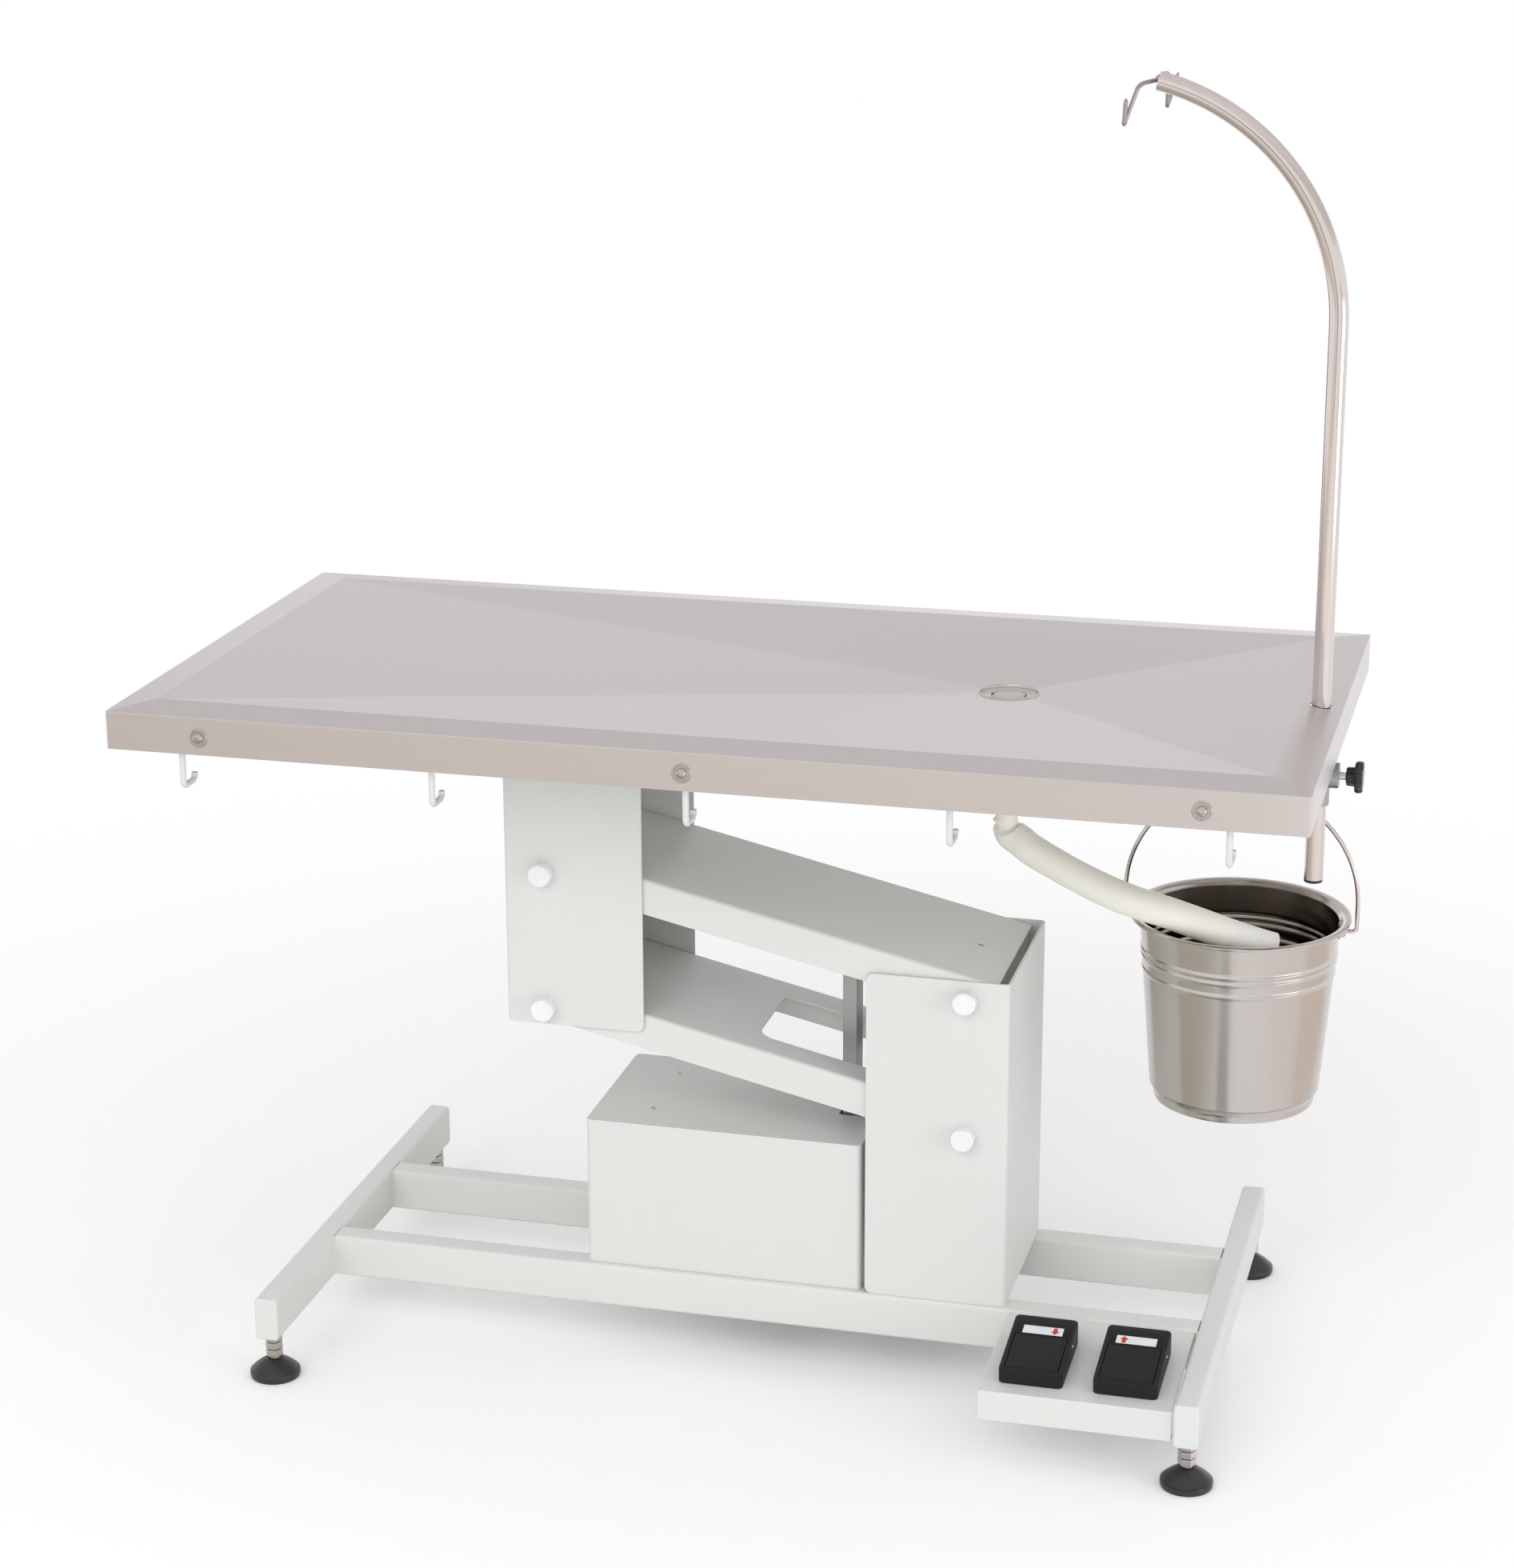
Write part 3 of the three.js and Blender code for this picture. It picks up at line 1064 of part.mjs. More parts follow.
// Folded tray in front of the front rail.
function pedalTray(back, front, backZ, frontZ) {
  const t = TRAY_SHEET;
  const profile = polygon([
    [back, backZ - TRAY_FLANGE],
    [back, backZ],
    [front, frontZ],
    [front, frontZ - TRAY_LIP],
    [front + TRAY_RETURN, frontZ - TRAY_LIP],
    [front + TRAY_RETURN, frontZ - TRAY_LIP + t],
    [front + t, frontZ - TRAY_LIP + t],
    [front + t, frontZ - t],
    [back - t, backZ - t],
    [back - t, backZ - TRAY_FLANGE],
  ].reverse());
  return push(profile, alongX, -TRAY_LENGTH / 2, TRAY_LENGTH / 2);
}

// Height of a pedal's sloping top over its underside, y measured from its front end.
function pedalTop(y) {
  return PEDAL_FRONT_HEIGHT + ((PEDAL_BACK_HEIGHT - PEDAL_FRONT_HEIGHT) * y) / PEDAL_LENGTH;
}

const treadBack = PEDAL_WALL + TREAD_GAP + TREAD_LENGTH;
const treadPinY = treadBack - TREAD_KNUCKLE;
const treadPinZ = pedalTop(treadPinY) - TREAD_KNUCKLE;

function pedalHousing() {
  const half = PEDAL_WIDTH / 2;
  const [low, high] = [pedalTop(0), pedalTop(PEDAL_LENGTH)];
  const wedge = polygon([[0, 0], [PEDAL_LENGTH, 0], [PEDAL_LENGTH, high], [0, low]]);
  const recess = block(
    [-half + PEDAL_WALL, PEDAL_WALL, PEDAL_FLOOR],
    [half - PEDAL_WALL, treadBack + TREAD_GAP, 2 * PEDAL_BACK_HEIGHT],
  );
  const pinHoles = rodAlong('x', PEDAL_PIN_RADIUS + FIT_GAP, -half - 1, half + 1, 12);
  return cut(push(wedge, alongX, -half, half), recess, pinHoles.translate(0, treadPinY, treadPinZ));
}

function pedalTread() {
  const half = PEDAL_WIDTH / 2 - PEDAL_WALL - TREAD_GAP;
  const front = PEDAL_WALL + TREAD_GAP;
  const lug = treadBack - 2 * TREAD_KNUCKLE;
  const profile = polygon([
    [front, pedalTop(front) - TREAD_THICKNESS],
    [lug, pedalTop(lug) - TREAD_THICKNESS],
    [lug, treadPinZ - TREAD_KNUCKLE + 1],
    [treadBack, treadPinZ - TREAD_KNUCKLE + 1],
    [treadBack, pedalTop(treadBack)],
    [front, pedalTop(front)],
  ]);
  const bore = rodAlong('x', PEDAL_PIN_RADIUS + FIT_GAP, -half - 1, half + 1, 12);
  return cut(push(profile, alongX, -half, half), bore.translate(0, treadPinY, treadPinZ));
}

function addPedals() {
  const back = -RAIL_SPREAD / 2;
  const front = back - TRAY_DEPTH;
  const backZ = railTop - TRAY_BACK_DROP;
  const frontZ = railTop - TRAY_FRONT_DROP;
  const trayX = BASE_LENGTH / 2 - BEAM_WIDTH - TRAY_GAP - TRAY_LENGTH / 2;
  add(groupAt(trayX, 0, 0), 'pedal_tray', pedalTray(back, front, backZ, frontZ), PAINT);
  const slope = Math.atan2(backZ - frontZ, TRAY_DEPTH);
  const pinHalf = PEDAL_WIDTH / 2 + PEDAL_PIN_PROUD;
  for (const [name, side] of [['down', -1], ['up', 1]]) {
    const y = front + PEDAL_FRONT_INSET;
    const z = frontZ + PEDAL_FRONT_INSET * Math.tan(slope) + FIT_GAP;
    const pedal = groupAt(trayX + (side * PEDAL_SPACING) / 2, y, z);
    pedal.rotation.x = slope;
    add(pedal, `pedal_housing_${name}`, pedalHousing(), BLACK);
    add(pedal, `pedal_tread_${name}`, pedalTread(), BLACK);
    const pin = rodAlong('x', PEDAL_PIN_RADIUS, -pinHalf, pinHalf, 12);
    add(pedal, `pedal_pin_${name}`, pin.translate(0, treadPinY, treadPinZ), NICKEL);
  }
}

addBase();
addColumn();
addHead();
addArms();
addActuator();
addBox();
addTable();
addDrain();
addHose();
addPole();
addBucket();
addPedals();

export default examTable;
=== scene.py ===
"""Looks of a height-adjustable veterinary exam table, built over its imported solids.

Every piece takes its place from the solids that it stands for. Lengths are in metres, or in millimetres
where a name ends in _mm. +Z is up and +X runs along the table towards the drip pole.
"""
import json
import logging
import math
from collections.abc import Callable, Iterable, Iterator, Mapping, Sequence
from contextlib import contextmanager
from dataclasses import dataclass
from enum import Enum

import bmesh
import bpy
from mathutils import Matrix, Vector

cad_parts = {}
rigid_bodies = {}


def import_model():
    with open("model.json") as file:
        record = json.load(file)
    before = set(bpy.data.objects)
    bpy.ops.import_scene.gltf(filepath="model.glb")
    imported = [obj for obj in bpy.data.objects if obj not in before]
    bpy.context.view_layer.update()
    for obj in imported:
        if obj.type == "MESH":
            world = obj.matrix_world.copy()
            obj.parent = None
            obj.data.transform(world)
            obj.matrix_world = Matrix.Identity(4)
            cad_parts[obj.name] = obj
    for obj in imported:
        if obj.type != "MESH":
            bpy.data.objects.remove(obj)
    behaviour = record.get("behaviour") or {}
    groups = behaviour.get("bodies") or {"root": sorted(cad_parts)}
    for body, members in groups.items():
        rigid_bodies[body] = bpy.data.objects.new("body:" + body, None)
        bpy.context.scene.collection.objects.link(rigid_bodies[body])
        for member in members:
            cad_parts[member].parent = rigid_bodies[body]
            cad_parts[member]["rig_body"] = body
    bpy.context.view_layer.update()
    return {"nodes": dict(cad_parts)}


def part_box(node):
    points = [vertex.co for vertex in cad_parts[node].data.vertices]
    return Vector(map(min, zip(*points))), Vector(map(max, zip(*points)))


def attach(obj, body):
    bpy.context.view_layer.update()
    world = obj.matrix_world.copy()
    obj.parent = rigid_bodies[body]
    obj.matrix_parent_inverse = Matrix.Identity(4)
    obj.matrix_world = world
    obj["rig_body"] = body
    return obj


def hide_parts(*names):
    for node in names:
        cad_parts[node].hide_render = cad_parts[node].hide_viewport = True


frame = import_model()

LOG = logging.getLogger("exam_table")
MM = 0.001
TAU = 2 * math.pi
QUARTER = math.pi / 2
# In degrees: edges over the first are drawn sharp, over the second are rounded, under the third are dissolved.
SHARP = 35.0
BEVEL_ANGLE = 40.0
FLAT_ANGLE = 0.4
# A face counts as level when its normal's upward part is over this.
LEVEL = 0.9
WELD_GAP = 1e-6
CORNER_PARTS = 4

Pair = tuple[float, float]
Triple = tuple[float, float, float]
Colour = tuple[float, float, float, float]
Ring = list[Vector]
Radius = Callable[[float, float], float]
Cut = Callable[[int, float], float]
Inputs = Mapping[str | int, object]


def srgb(red: int, green: int, blue: int) -> Colour:
    """Turns a display colour into a linear one.

    Args:
        red: Red, 0 to 255.
        green: Green, 0 to 255.
        blue: Blue, 0 to 255.

    Returns:
        The linear colour with full alpha.
    """
    parts = [value / 255 for value in (red, green, blue)]
    linear = [p / 12.92 if p <= 0.04045 else ((p + 0.055) / 1.055) ** 2.4 for p in parts]
    return (linear[0], linear[1], linear[2], 1.0)


def shade(colour: Colour, factor: float) -> Colour:
    """A colour made darker or lighter by a factor."""
    return (colour[0] * factor, colour[1] * factor, colour[2] * factor, 1.0)


class Socket:
    """An output of a node, on which arithmetic adds Math nodes."""

    def __init__(self, tree: "Tree", output: bpy.types.NodeSocket) -> None:
        """Keeps the output with the tree that it is in."""
        self.tree, self.output = tree, output

    def maths(self, operation: str, *others: "Socket | float") -> "Socket":
        """A Math node's result on this value and any others."""
        return self.tree.out("ShaderNodeMath", dict(enumerate((self, *others))), operation=operation)

    def __add__(self, other: "Socket | float") -> "Socket":
        """Sum."""
        return self.maths("ADD", other)

    def __sub__(self, other: "Socket | float") -> "Socket":
        """Difference."""
        return self.maths("SUBTRACT", other)

    def __rsub__(self, other: float) -> "Socket":
        """Difference from a number."""
        return self.tree.out("ShaderNodeMath", {0: other, 1: self}, operation="SUBTRACT")

    def __mul__(self, other: "Socket | float") -> "Socket":
        """Product."""
        return self.maths("MULTIPLY", other)

    def __gt__(self, edge: float) -> "Socket":
        """One where the value is over the edge, and zero elsewhere."""
        return self.maths("GREATER_THAN", edge)

    __radd__ = __add__
    __rmul__ = __mul__


class Tree:
    """A node tree in which one method makes any node."""

    def __init__(self, tree: bpy.types.NodeTree) -> None:
        """Keeps the Blender tree."""
        self.tree = tree

    def node(self, kind: str, inputs: Inputs | None = None, **settings: object) -> bpy.types.Node:
        """Makes a node.

        Args:
            kind: The node's Blender type.
            inputs: By name or number. A Socket or a list of them is linked, any other value is set.
            settings: Its properties.

        Returns:
            The node.
        """
        made = self.tree.nodes.new(kind)
        for name, value in settings.items():
            setattr(made, name, value)
        for key, value in (inputs or {}).items():
            for source in value if isinstance(value, list) else [value]:
                if isinstance(source, Socket):
                    self.tree.links.new(source.output, made.inputs[key])
                else:
                    made.inputs[key].default_value = source
        return made

    def out(
        self, kind: str, inputs: Inputs | None = None, output: str | int = 0, **settings: object
    ) -> Socket:
        """Makes a node, as node() does, and returns the output of that name or number."""
        return Socket(self, self.node(kind, inputs, **settings).outputs[output])


class Paint(Tree):
    """A material's tree around one Principled shader."""

    def __init__(self, name: str) -> None:
        """Starts an empty material.

        Args:
            name: The material's name.
        """
        self.material = bpy.data.materials.new(name)
        self.material.use_nodes = True
        super().__init__(self.material.node_tree)
        self.tree.nodes.clear()
        self.place = self.out("ShaderNodeTexCoord", output="Object")

    def along(self, axis: str) -> Socket:
        """The object's own coordinate along X, Y or Z."""
        return self.out("ShaderNodeSeparateXYZ", {0: self.place}, axis)

    def noise(self, scale: Sequence[float], detail: float = 3.0, seed: float = 0.0) -> Socket:
        """Noise over the object.

        Args:
            scale: Spots per metre along X, Y and Z.
            detail: Octaves of finer noise.
            seed: Shift of the pattern, in spots.

        Returns:
            Noise from 0 to 1.
        """
        terms = {0: self.place, 1: tuple(scale), 2: (seed,) * 3}
        spots = self.out("ShaderNodeVectorMath", terms, operation="MULTIPLY_ADD")
        return self.out("ShaderNodeTexNoise", {"Vector": spots, "Scale": 1.0, "Detail": detail})

    def mix(self, factor: Socket, low: Socket | Colour, high: Socket | Colour) -> Socket:
        """Goes from the low colour at 0 to the high one at 1."""
        return self.out("ShaderNodeMix", {0: factor, 6: low, 7: high}, 2, data_type="RGBA")

    def ramp(self, value: Socket, low: float, high: float) -> Socket:
        """Smooth step of a value: 0 below low, 1 above high."""
        inputs = {"Value": value, "From Min": low, "From Max": high}
        return self.out("ShaderNodeMapRange", inputs, interpolation_type="SMOOTHSTEP")

    def bump(self, height: Socket, depth: float) -> Socket:
        """The normal bent by relief, which goes from 0 to 1 over the depth."""
        return self.out("ShaderNodeBump", {"Strength": 1.0, "Distance": depth, "Height": height})

    def close(self, surface: Inputs) -> bpy.types.Material:
        """Ends the tree in a Principled shader.

        Args:
            surface: The shader's inputs.

        Returns:
            The material.
        """
        shader = self.out("ShaderNodeBsdfPrincipled", surface)
        self.node("ShaderNodeOutputMaterial", {"Surface": shader})
        return self.material


@dataclass(frozen=True)
class Finish:
    """What all finishes have."""

    name: str
    colour: Colour
    roughness: float
    slot: str = ""

    def material(self) -> bpy.types.Material:
        """Makes the finish's material once.

        Returns:
            The material.
        """
        name = f"{self.name}_finish"
        found = bpy.data.materials.get(name)
        if found:
            return found
        paint = Paint(name)
        return paint.close(self.surface(paint))

    def surface(self, paint: Paint) -> Inputs:
        """Draws the finish.

        Args:
            paint: The material's empty tree.

        Returns:
            The shader's inputs.
        """
        raise NotImplementedError


@dataclass(frozen=True)
class PowderCoat(Finish):
    """Baked powder paint with a faint orange peel."""

    peel: float = 0.02 * MM

    def surface(self, paint: Paint) -> Inputs:
        """Slight clouds in the colour, fine relief in the surface.

        Args:
            paint: The material's empty tree.

        Returns:
            The shader's inputs.
        """
        cloud, grain = paint.noise((6, 6, 6)), paint.noise((700, 700, 700), 2.0)
        return {
            "Base Color": paint.mix(cloud, shade(self.colour, 0.97), self.colour),
            "Roughness": self.roughness - 0.05 + 0.1 * grain,
            "Normal": paint.bump(grain, self.peel),
        }


@dataclass(frozen=True)
class Brushed(Finish):
    """Metal with a fine grain along one direction."""

    grain: Triple = (6, 900, 900)
    depth: float = 0.004 * MM
    contrast: float = 0.06
    tint: Colour = (1.0, 1.0, 1.0, 1.0)

    def surface(self, paint: Paint) -> Inputs:
        """Streaks in the colour, the roughness and the relief, over broad clouds.

        Args:
            paint: The material's empty tree.

        Returns:
            The shader's inputs.
        """
        streak, cloud = paint.noise(self.grain, 4.0), paint.noise((3.5, 3.5, 5), 2.0, 11.0)
        low, high = shade(self.colour, 1 - self.contrast), shade(self.colour, 1 + self.contrast)
        warm = tuple(a * b for a, b in zip(high, self.tint))
        return {
            "Base Color": paint.mix(streak, low, paint.mix(cloud, high, warm)),
            "Metallic": 1.0,
            "Roughness": self.roughness - 0.06 + 0.08 * streak + 0.06 * cloud,
            "Normal": paint.bump(streak, self.depth),
        }


@dataclass(frozen=True)
class Polished(Finish):
    """Bright metal with faint smears."""

    tint: Colour = srgb(206, 194, 186)

    def tone(self, paint: Paint) -> Socket:
        """The colour, which drifts to its tint over the piece."""
        return paint.mix(paint.noise((7, 7, 3), 1.0, 5.0), self.colour, self.tint)

    def surface(self, paint: Paint) -> Inputs:
        """Smears in the roughness."""
        rough = self.roughness * (0.88 + 0.24 * paint.noise((60, 60, 12), 4.0))
        return {"Base Color": self.tone(paint), "Metallic": 1.0, "Roughness": rough}


@dataclass(frozen=True)
class Spun(Polished):
    """Bright turned metal, with painted shade: a darker colour inside the wall."""

    # Painted shade: a darker colour that stands in for the shade inside the bucket.
    inside_shade: Colour = srgb(174, 166, 158)
    middle: Pair = (0.0, 0.0)
    foot: float = 0.0
    rim: float = 1.0
    foot_radius: float = 0.1
    rim_radius: float = 0.1

    def tone(self, paint: Paint) -> Socket:
        """The bright colour, and the painted shade colour inside the tapered wall, between foot and rim.

        Args:
            paint: The material's tree.

        Returns:
            The colour.
        """
        x, y, z = (paint.along(axis) for axis in "XYZ")
        x, y = x - self.middle[0], y - self.middle[1]
        taper = (self.rim_radius - self.foot_radius) / (self.rim - self.foot)
        depth = self.foot_radius + taper * (z - self.foot) - (x * x + y * y).maths("SQRT")
        # Painted shade: inside the wall, above the foot, the colour turns to the darker shade colour.
        return paint.mix((depth > 0.0) * (z > self.foot), super().tone(paint), self.inside_shade)


@dataclass(frozen=True)
class Moulded(Finish):
    """Moulded plastic or rubber."""

    grain: float = 900.0
    depth: float = 0.01 * MM
    coat: float = 0.0
    gloss: float = 0.5

    def surface(self, paint: Paint) -> Inputs:
        """Slightly uneven colour and sheen, with a spark-eroded grain.

        Args:
            paint: The material's empty tree.

        Returns:
            The shader's inputs.
        """
        cloud, grain = paint.noise((30, 30, 30)), paint.noise((self.grain,) * 3, 2.0)
        return {
            "Base Color": paint.mix(cloud, shade(self.colour, 0.88), shade(self.colour, 1.08)),
            "Roughness": self.roughness - 0.06 + 0.12 * cloud,
            "Specular IOR Level": self.gloss,
            "Coat Weight": self.coat,
            "Coat Roughness": 0.12,
            "Normal": paint.bump(grain, self.depth),
        }


@dataclass(frozen=True)
class Vinyl(Finish):
    """Cream hose that lets a little light through."""

    def surface(self, paint: Paint) -> Inputs:
        """Milky colour with soft clouds.

        Args:
            paint: The material's empty tree.

        Returns:
            The shader's inputs.
        """
        cloud = paint.noise((24, 24, 24), 2.0)
        return {
            "Base Color": paint.mix(cloud, shade(self.colour, 0.95), self.colour),
            "Roughness": self.roughness - 0.05 + 0.1 * cloud,
            "Subsurface Weight": 0.25,
            "Subsurface Radius": (0.006, 0.005, 0.003),
            "Subsurface Scale": 1.0,
            "Sheen Weight": 0.25,
            "Sheen Roughness": 0.6,
        }


@dataclass(frozen=True)
class DrainBody(Finish):
    """Stainless flange on a cream tail pipe."""

    pipe: Colour = srgb(232, 231, 220)
    split: float = 0.0
    blend: float = 0.2 * MM

    def surface(self, paint: Paint) -> Inputs:
        """Metal over the height where the pipe starts, and cream below it.

        Args:
            paint: The material's empty tree.

        Returns:
            The shader's inputs.
        """
        metal = paint.ramp(paint.along("Z"), self.split - self.blend, self.split + self.blend)
        ring = paint.noise((500, 500, 40), 3.0)
        steel = paint.mix(ring, shade(self.colour, 0.92), self.colour)
        return {
            "Base Color": paint.mix(metal, self.pipe, steel),
            "Metallic": metal,
            "Roughness": self.roughness + 0.2 - 0.2 * metal + 0.06 * ring,
        }


COAT = PowderCoat("powder_coat", srgb(224, 226, 223), 0.42)
SATIN = Brushed("satin_stainless", srgb(212, 208, 208), 0.3, tint=srgb(255, 252, 250))
DISC = Brushed("drain_disc", srgb(205, 199, 192), 0.3, "drain_fitting", (300, 300, 300))
BRIGHT = Polished("polished_stainless", srgb(222, 215, 213), 0.13, tint=srgb(218, 208, 202))
NICKEL = Polished("nickel_steel", srgb(226, 223, 224), 0.3, tint=srgb(222, 215, 213))
SCREW = Polished("screw_steel", srgb(200, 195, 193), 0.16, "polished_stainless", srgb(190, 183, 179))
WIRE = Polished("wire_steel", srgb(178, 169, 170), 0.22, "polished_stainless", srgb(166, 156, 158))
SLEEVE = Brushed("sleeve_steel", srgb(176, 176, 178), 0.36, grain=(700, 700, 20))
ALLOY = Brushed("actuator_alloy", srgb(196, 196, 198), 0.38, grain=(800, 800, 6))
RUBBER = Moulded("foot_plastic", srgb(36, 36, 39), 0.3, coat=0.25)
PEDAL = Moulded("pedal_plastic", srgb(27, 27, 29), 0.55, grain=600.0, depth=0.02 * MM, gloss=0.3)
UNIT = Moulded("unit_plastic", srgb(48, 48, 50), 0.5)
KNOB = Moulded("knob_plastic", srgb(22, 22, 26), 0.3, coat=0.4)
CAP = Moulded("cap_plastic", srgb(244, 243, 246), 0.25, coat=0.3)
HOSE = Vinyl("hose_vinyl", srgb(250, 248, 238), 0.42)
LABEL = Moulded("label_film", srgb(236, 238, 240), 0.4, "pedal_plastic")
ARROW = Moulded("label_arrow", srgb(206, 44, 52), 0.4, "pedal_plastic")


def put(name: str, data: bpy.types.ID) -> bpy.types.Object:
    """Adds an object with that data to the scene.

    Args:
        name: The object's name.
        data: Its mesh, lamp or camera.

    Returns:
        The object.
    """
    made = bpy.data.objects.new(name, data)
    bpy.context.scene.collection.objects.link(made)
    return made


def final(piece: bpy.types.Object) -> bpy.types.Mesh:
    """Applies an object's modifiers.

    Args:
        piece: The object.

    Returns:
        A plain mesh.
    """
    graph = bpy.context.evaluated_depsgraph_get()
    ready = piece.evaluated_get(graph)
    return bpy.data.meshes.new_from_object(ready, preserve_all_data_layers=True, depsgraph=graph)


@contextmanager
def editing(mesh: bpy.types.Mesh) -> Iterator[bmesh.types.BMesh]:
    """Opens a mesh for editing and writes it back.

    Args:
        mesh: The mesh.

    Yields:
        The mesh while it is edited.
    """
    edit = bmesh.new()
    edit.from_mesh(mesh)
    yield edit
    edit.to_mesh(mesh)
    edit.free()


def polar(radius: float, angle: float, z: float = 0.0) -> Vector:
    """A point by its distance from the axis, its angle and its height."""
    return Vector((radius * math.cos(angle), radius * math.sin(angle), z))


def round_path(points: Sequence[Vector], steps: int) -> Ring:
    """A smooth line through points.

    Args:
        points: What the line passes through.
        steps: Parts of the line between two points.

    Returns:
        The line's points.
    """
    ends = [2 * points[0] - points[1], *points, 2 * points[-1] - points[-2]]
    line: Ring = []
    for a, b, c, d in zip(ends, ends[1:], ends[2:], ends[3:]):
        for t in (step / steps for step in range(steps)):
            bend = (2 * a - 5 * b + 4 * c - d) * t + (3 * b - a - 3 * c + d) * t * t
            line.append(b + ((c - a) + bend) * t / 2)
    return [*line, points[-1].copy()]


def arc(centre: Vector, start: Vector, end: Vector, angle: float, steps: int) -> Ring:
    """Part of a circle or an ellipse.

    Args:
        centre: Its middle.
        start: From the middle to where it begins.
        end: From the middle to a quarter turn further.
        angle: How far it goes.
        steps: Parts of the arc.

    Returns:
        The arc's points, both ends included.
    """
    turns = [angle * i / steps for i in range(steps + 1)]
    return [centre + start * math.cos(t) + end * math.sin(t) for t in turns]


def rounded(
    centre: Sequence[float], half: Sequence[float], corner: float, turns: int = CORNER_PARTS, parts: int = 1
) -> Ring:
    """A rectangle with round corners.

    Args:
        centre: Its middle.
        half: Half its length and width.
        corner: Radius of its corners.
        turns: Parts of a corner.
        parts: Parts of a straight side.

    Returns:
        Its flat points, anticlockwise from the corner with the least coordinates.
    """
    corners = []
    for i, (sx, sy) in enumerate(((-1, -1), (1, -1), (1, 1), (-1, 1))):
        spot = Vector((centre[0] + sx * (half[0] - corner), centre[1] + sy * (half[1] - corner)))
        angles = [math.pi + i * QUARTER + k * QUARTER / turns for k in range(turns + 1)]
        corners.append([spot + corner * Vector((math.cos(a), math.sin(a))) for a in angles])
    points: Ring = []
    for this, following in zip(corners, corners[1:] + corners[:1]):
        points += this
        points += [this[-1].lerp(following[0], k / parts) for k in range(1, parts)]
    return points


def tube_rings(path: Sequence[Vector], radius: Radius, sides: int) -> list[Ring]:
    """Rings of a tube along a path.

    Args:
        path: Middle of the tube.
        radius: Radius at a share of the path and an angle from the upper side.
        sides: Parts of the circle.

    Returns:
        One ring for each point of the path.
    """
    heading = (path[1] - path[0]).normalized()
    side = Vector((0, 1, 0)) if abs(heading.y) < 0.9 else Vector((1, 0, 0))
    normal = side.cross(heading).normalized()
    angles = [TAU * k / sides for k in range(sides)]
    last = len(path) - 1
    rings = []
    for i, point in enumerate(path):
        ahead = (path[min(i + 1, last)] - path[max(i - 1, 0)]).normalized()
        normal = (normal - ahead * normal.dot(ahead)).normalized()
        across = ahead.cross(normal)
        rings.append([
            point + (normal * math.cos(a) + across * math.sin(a)) * radius(i / last, a) for a in angles
        ])
    return rings


def even(radius: float) -> Radius:
    """A tube's radius that is the same everywhere."""
    return lambda share, angle: radius


def uncut(row: int, angle: float) -> float:
    """Leaves a turned piece round."""
    return 0.0


class Shape:
    """Points and faces of a piece while it is drawn."""

    def __init__(self) -> None:
        """Starts with nothing drawn."""
        self.points: Ring = []
        self.faces: list[list[int]] = []

    def skin(self, rings: Sequence[Ring], ends: bool = False, loop: bool = False) -> "Shape":
        """Joins closed rings of equally many points.

        Args:
            rings: The rings in order.
            ends: Whether the first and last ring are closed by a face.
            loop: Whether the last ring joins the first.

        Returns:
            The shape itself.
        """
        start, count, total = len(self.points), len(rings[0]), len(rings)
        self.points += [Vector(point) for ring in rings for point in ring]

        def number(ring: int, i: int) -> int:
            """Number of a ring's point."""
            return start + (ring % total) * count + i % count

        for ring in range(total if loop else total - 1):
            for i in range(count):
                corners = ((ring, i), (ring, i + 1), (ring + 1, i + 1), (ring + 1, i))
                self.faces.append([number(*corner) for corner in corners])
        if ends:
            self.faces.append([number(0, i) for i in reversed(range(count))])
            self.faces.append([number(total - 1, i) for i in range(count)])
        return self

    def lathe(
        self, profile: Sequence[Pair], place: Matrix, sides: int = 56, loop: bool = False, cut: Cut = uncut
    ) -> "Shape":
        """Turns a profile round an axis.

        Args:
            profile: Radius and height of each row.
            place: From the profile's frame, where the axis is Z, to the part's frame.
            sides: Parts of the circle.
            loop: Whether the profile closes on itself.
            cut: What a row's radius loses at an angle.

        Returns:
            The shape itself.
        """
        angles = [TAU * i / sides for i in range(sides)]
        rows = enumerate(profile)
        return self.skin(
            [[place @ polar(r - cut(row, a), a, z) for a in angles] for row, (r, z) in rows], loop=loop
        )

    def sweep(self, path: Sequence[Vector], radius: Radius, sides: int = 20) -> "Shape":
        """Draws a tube with closed ends, from the same values as tube_rings()."""
        return self.skin(tube_rings(path, radius, sides), ends=True)

    def slab(self, outline: Sequence[Pair], low: float, high: float, place: Matrix) -> "Shape":
        """Raises a flat outline from low to high, and sets it in its place."""
        return self.skin([[place @ Vector((x, y, z)) for x, y in outline] for z in (low, high)], ends=True)

    def mesh(self, name: str, sharp: float = SHARP, crease: float | None = None) -> bpy.types.Mesh:
        """Makes the mesh.

        Args:
            name: Its name.
            sharp: Edges over this angle, in degrees, stay sharp.
            crease: On nearly level faces, edges over this smaller angle stay sharp too.

        Returns:
            The mesh.
        """
        made = bpy.data.meshes.new(name)
        made.from_pydata(self.points, [], self.faces)
        with editing(made) as edit:
            bmesh.ops.remove_doubles(edit, verts=edit.verts, dist=WELD_GAP)
            bmesh.ops.recalc_face_normals(edit, faces=edit.faces)
            for edge in edit.edges:
                angle = math.degrees(edge.calc_face_angle(0.0))
                level = crease is not None and all(abs(face.normal.z) > LEVEL for face in edge.link_faces)
                edge.smooth = not edge.is_boundary and angle < (crease if level else sharp)
            for face in edit.faces:
                face.smooth = True
        return made


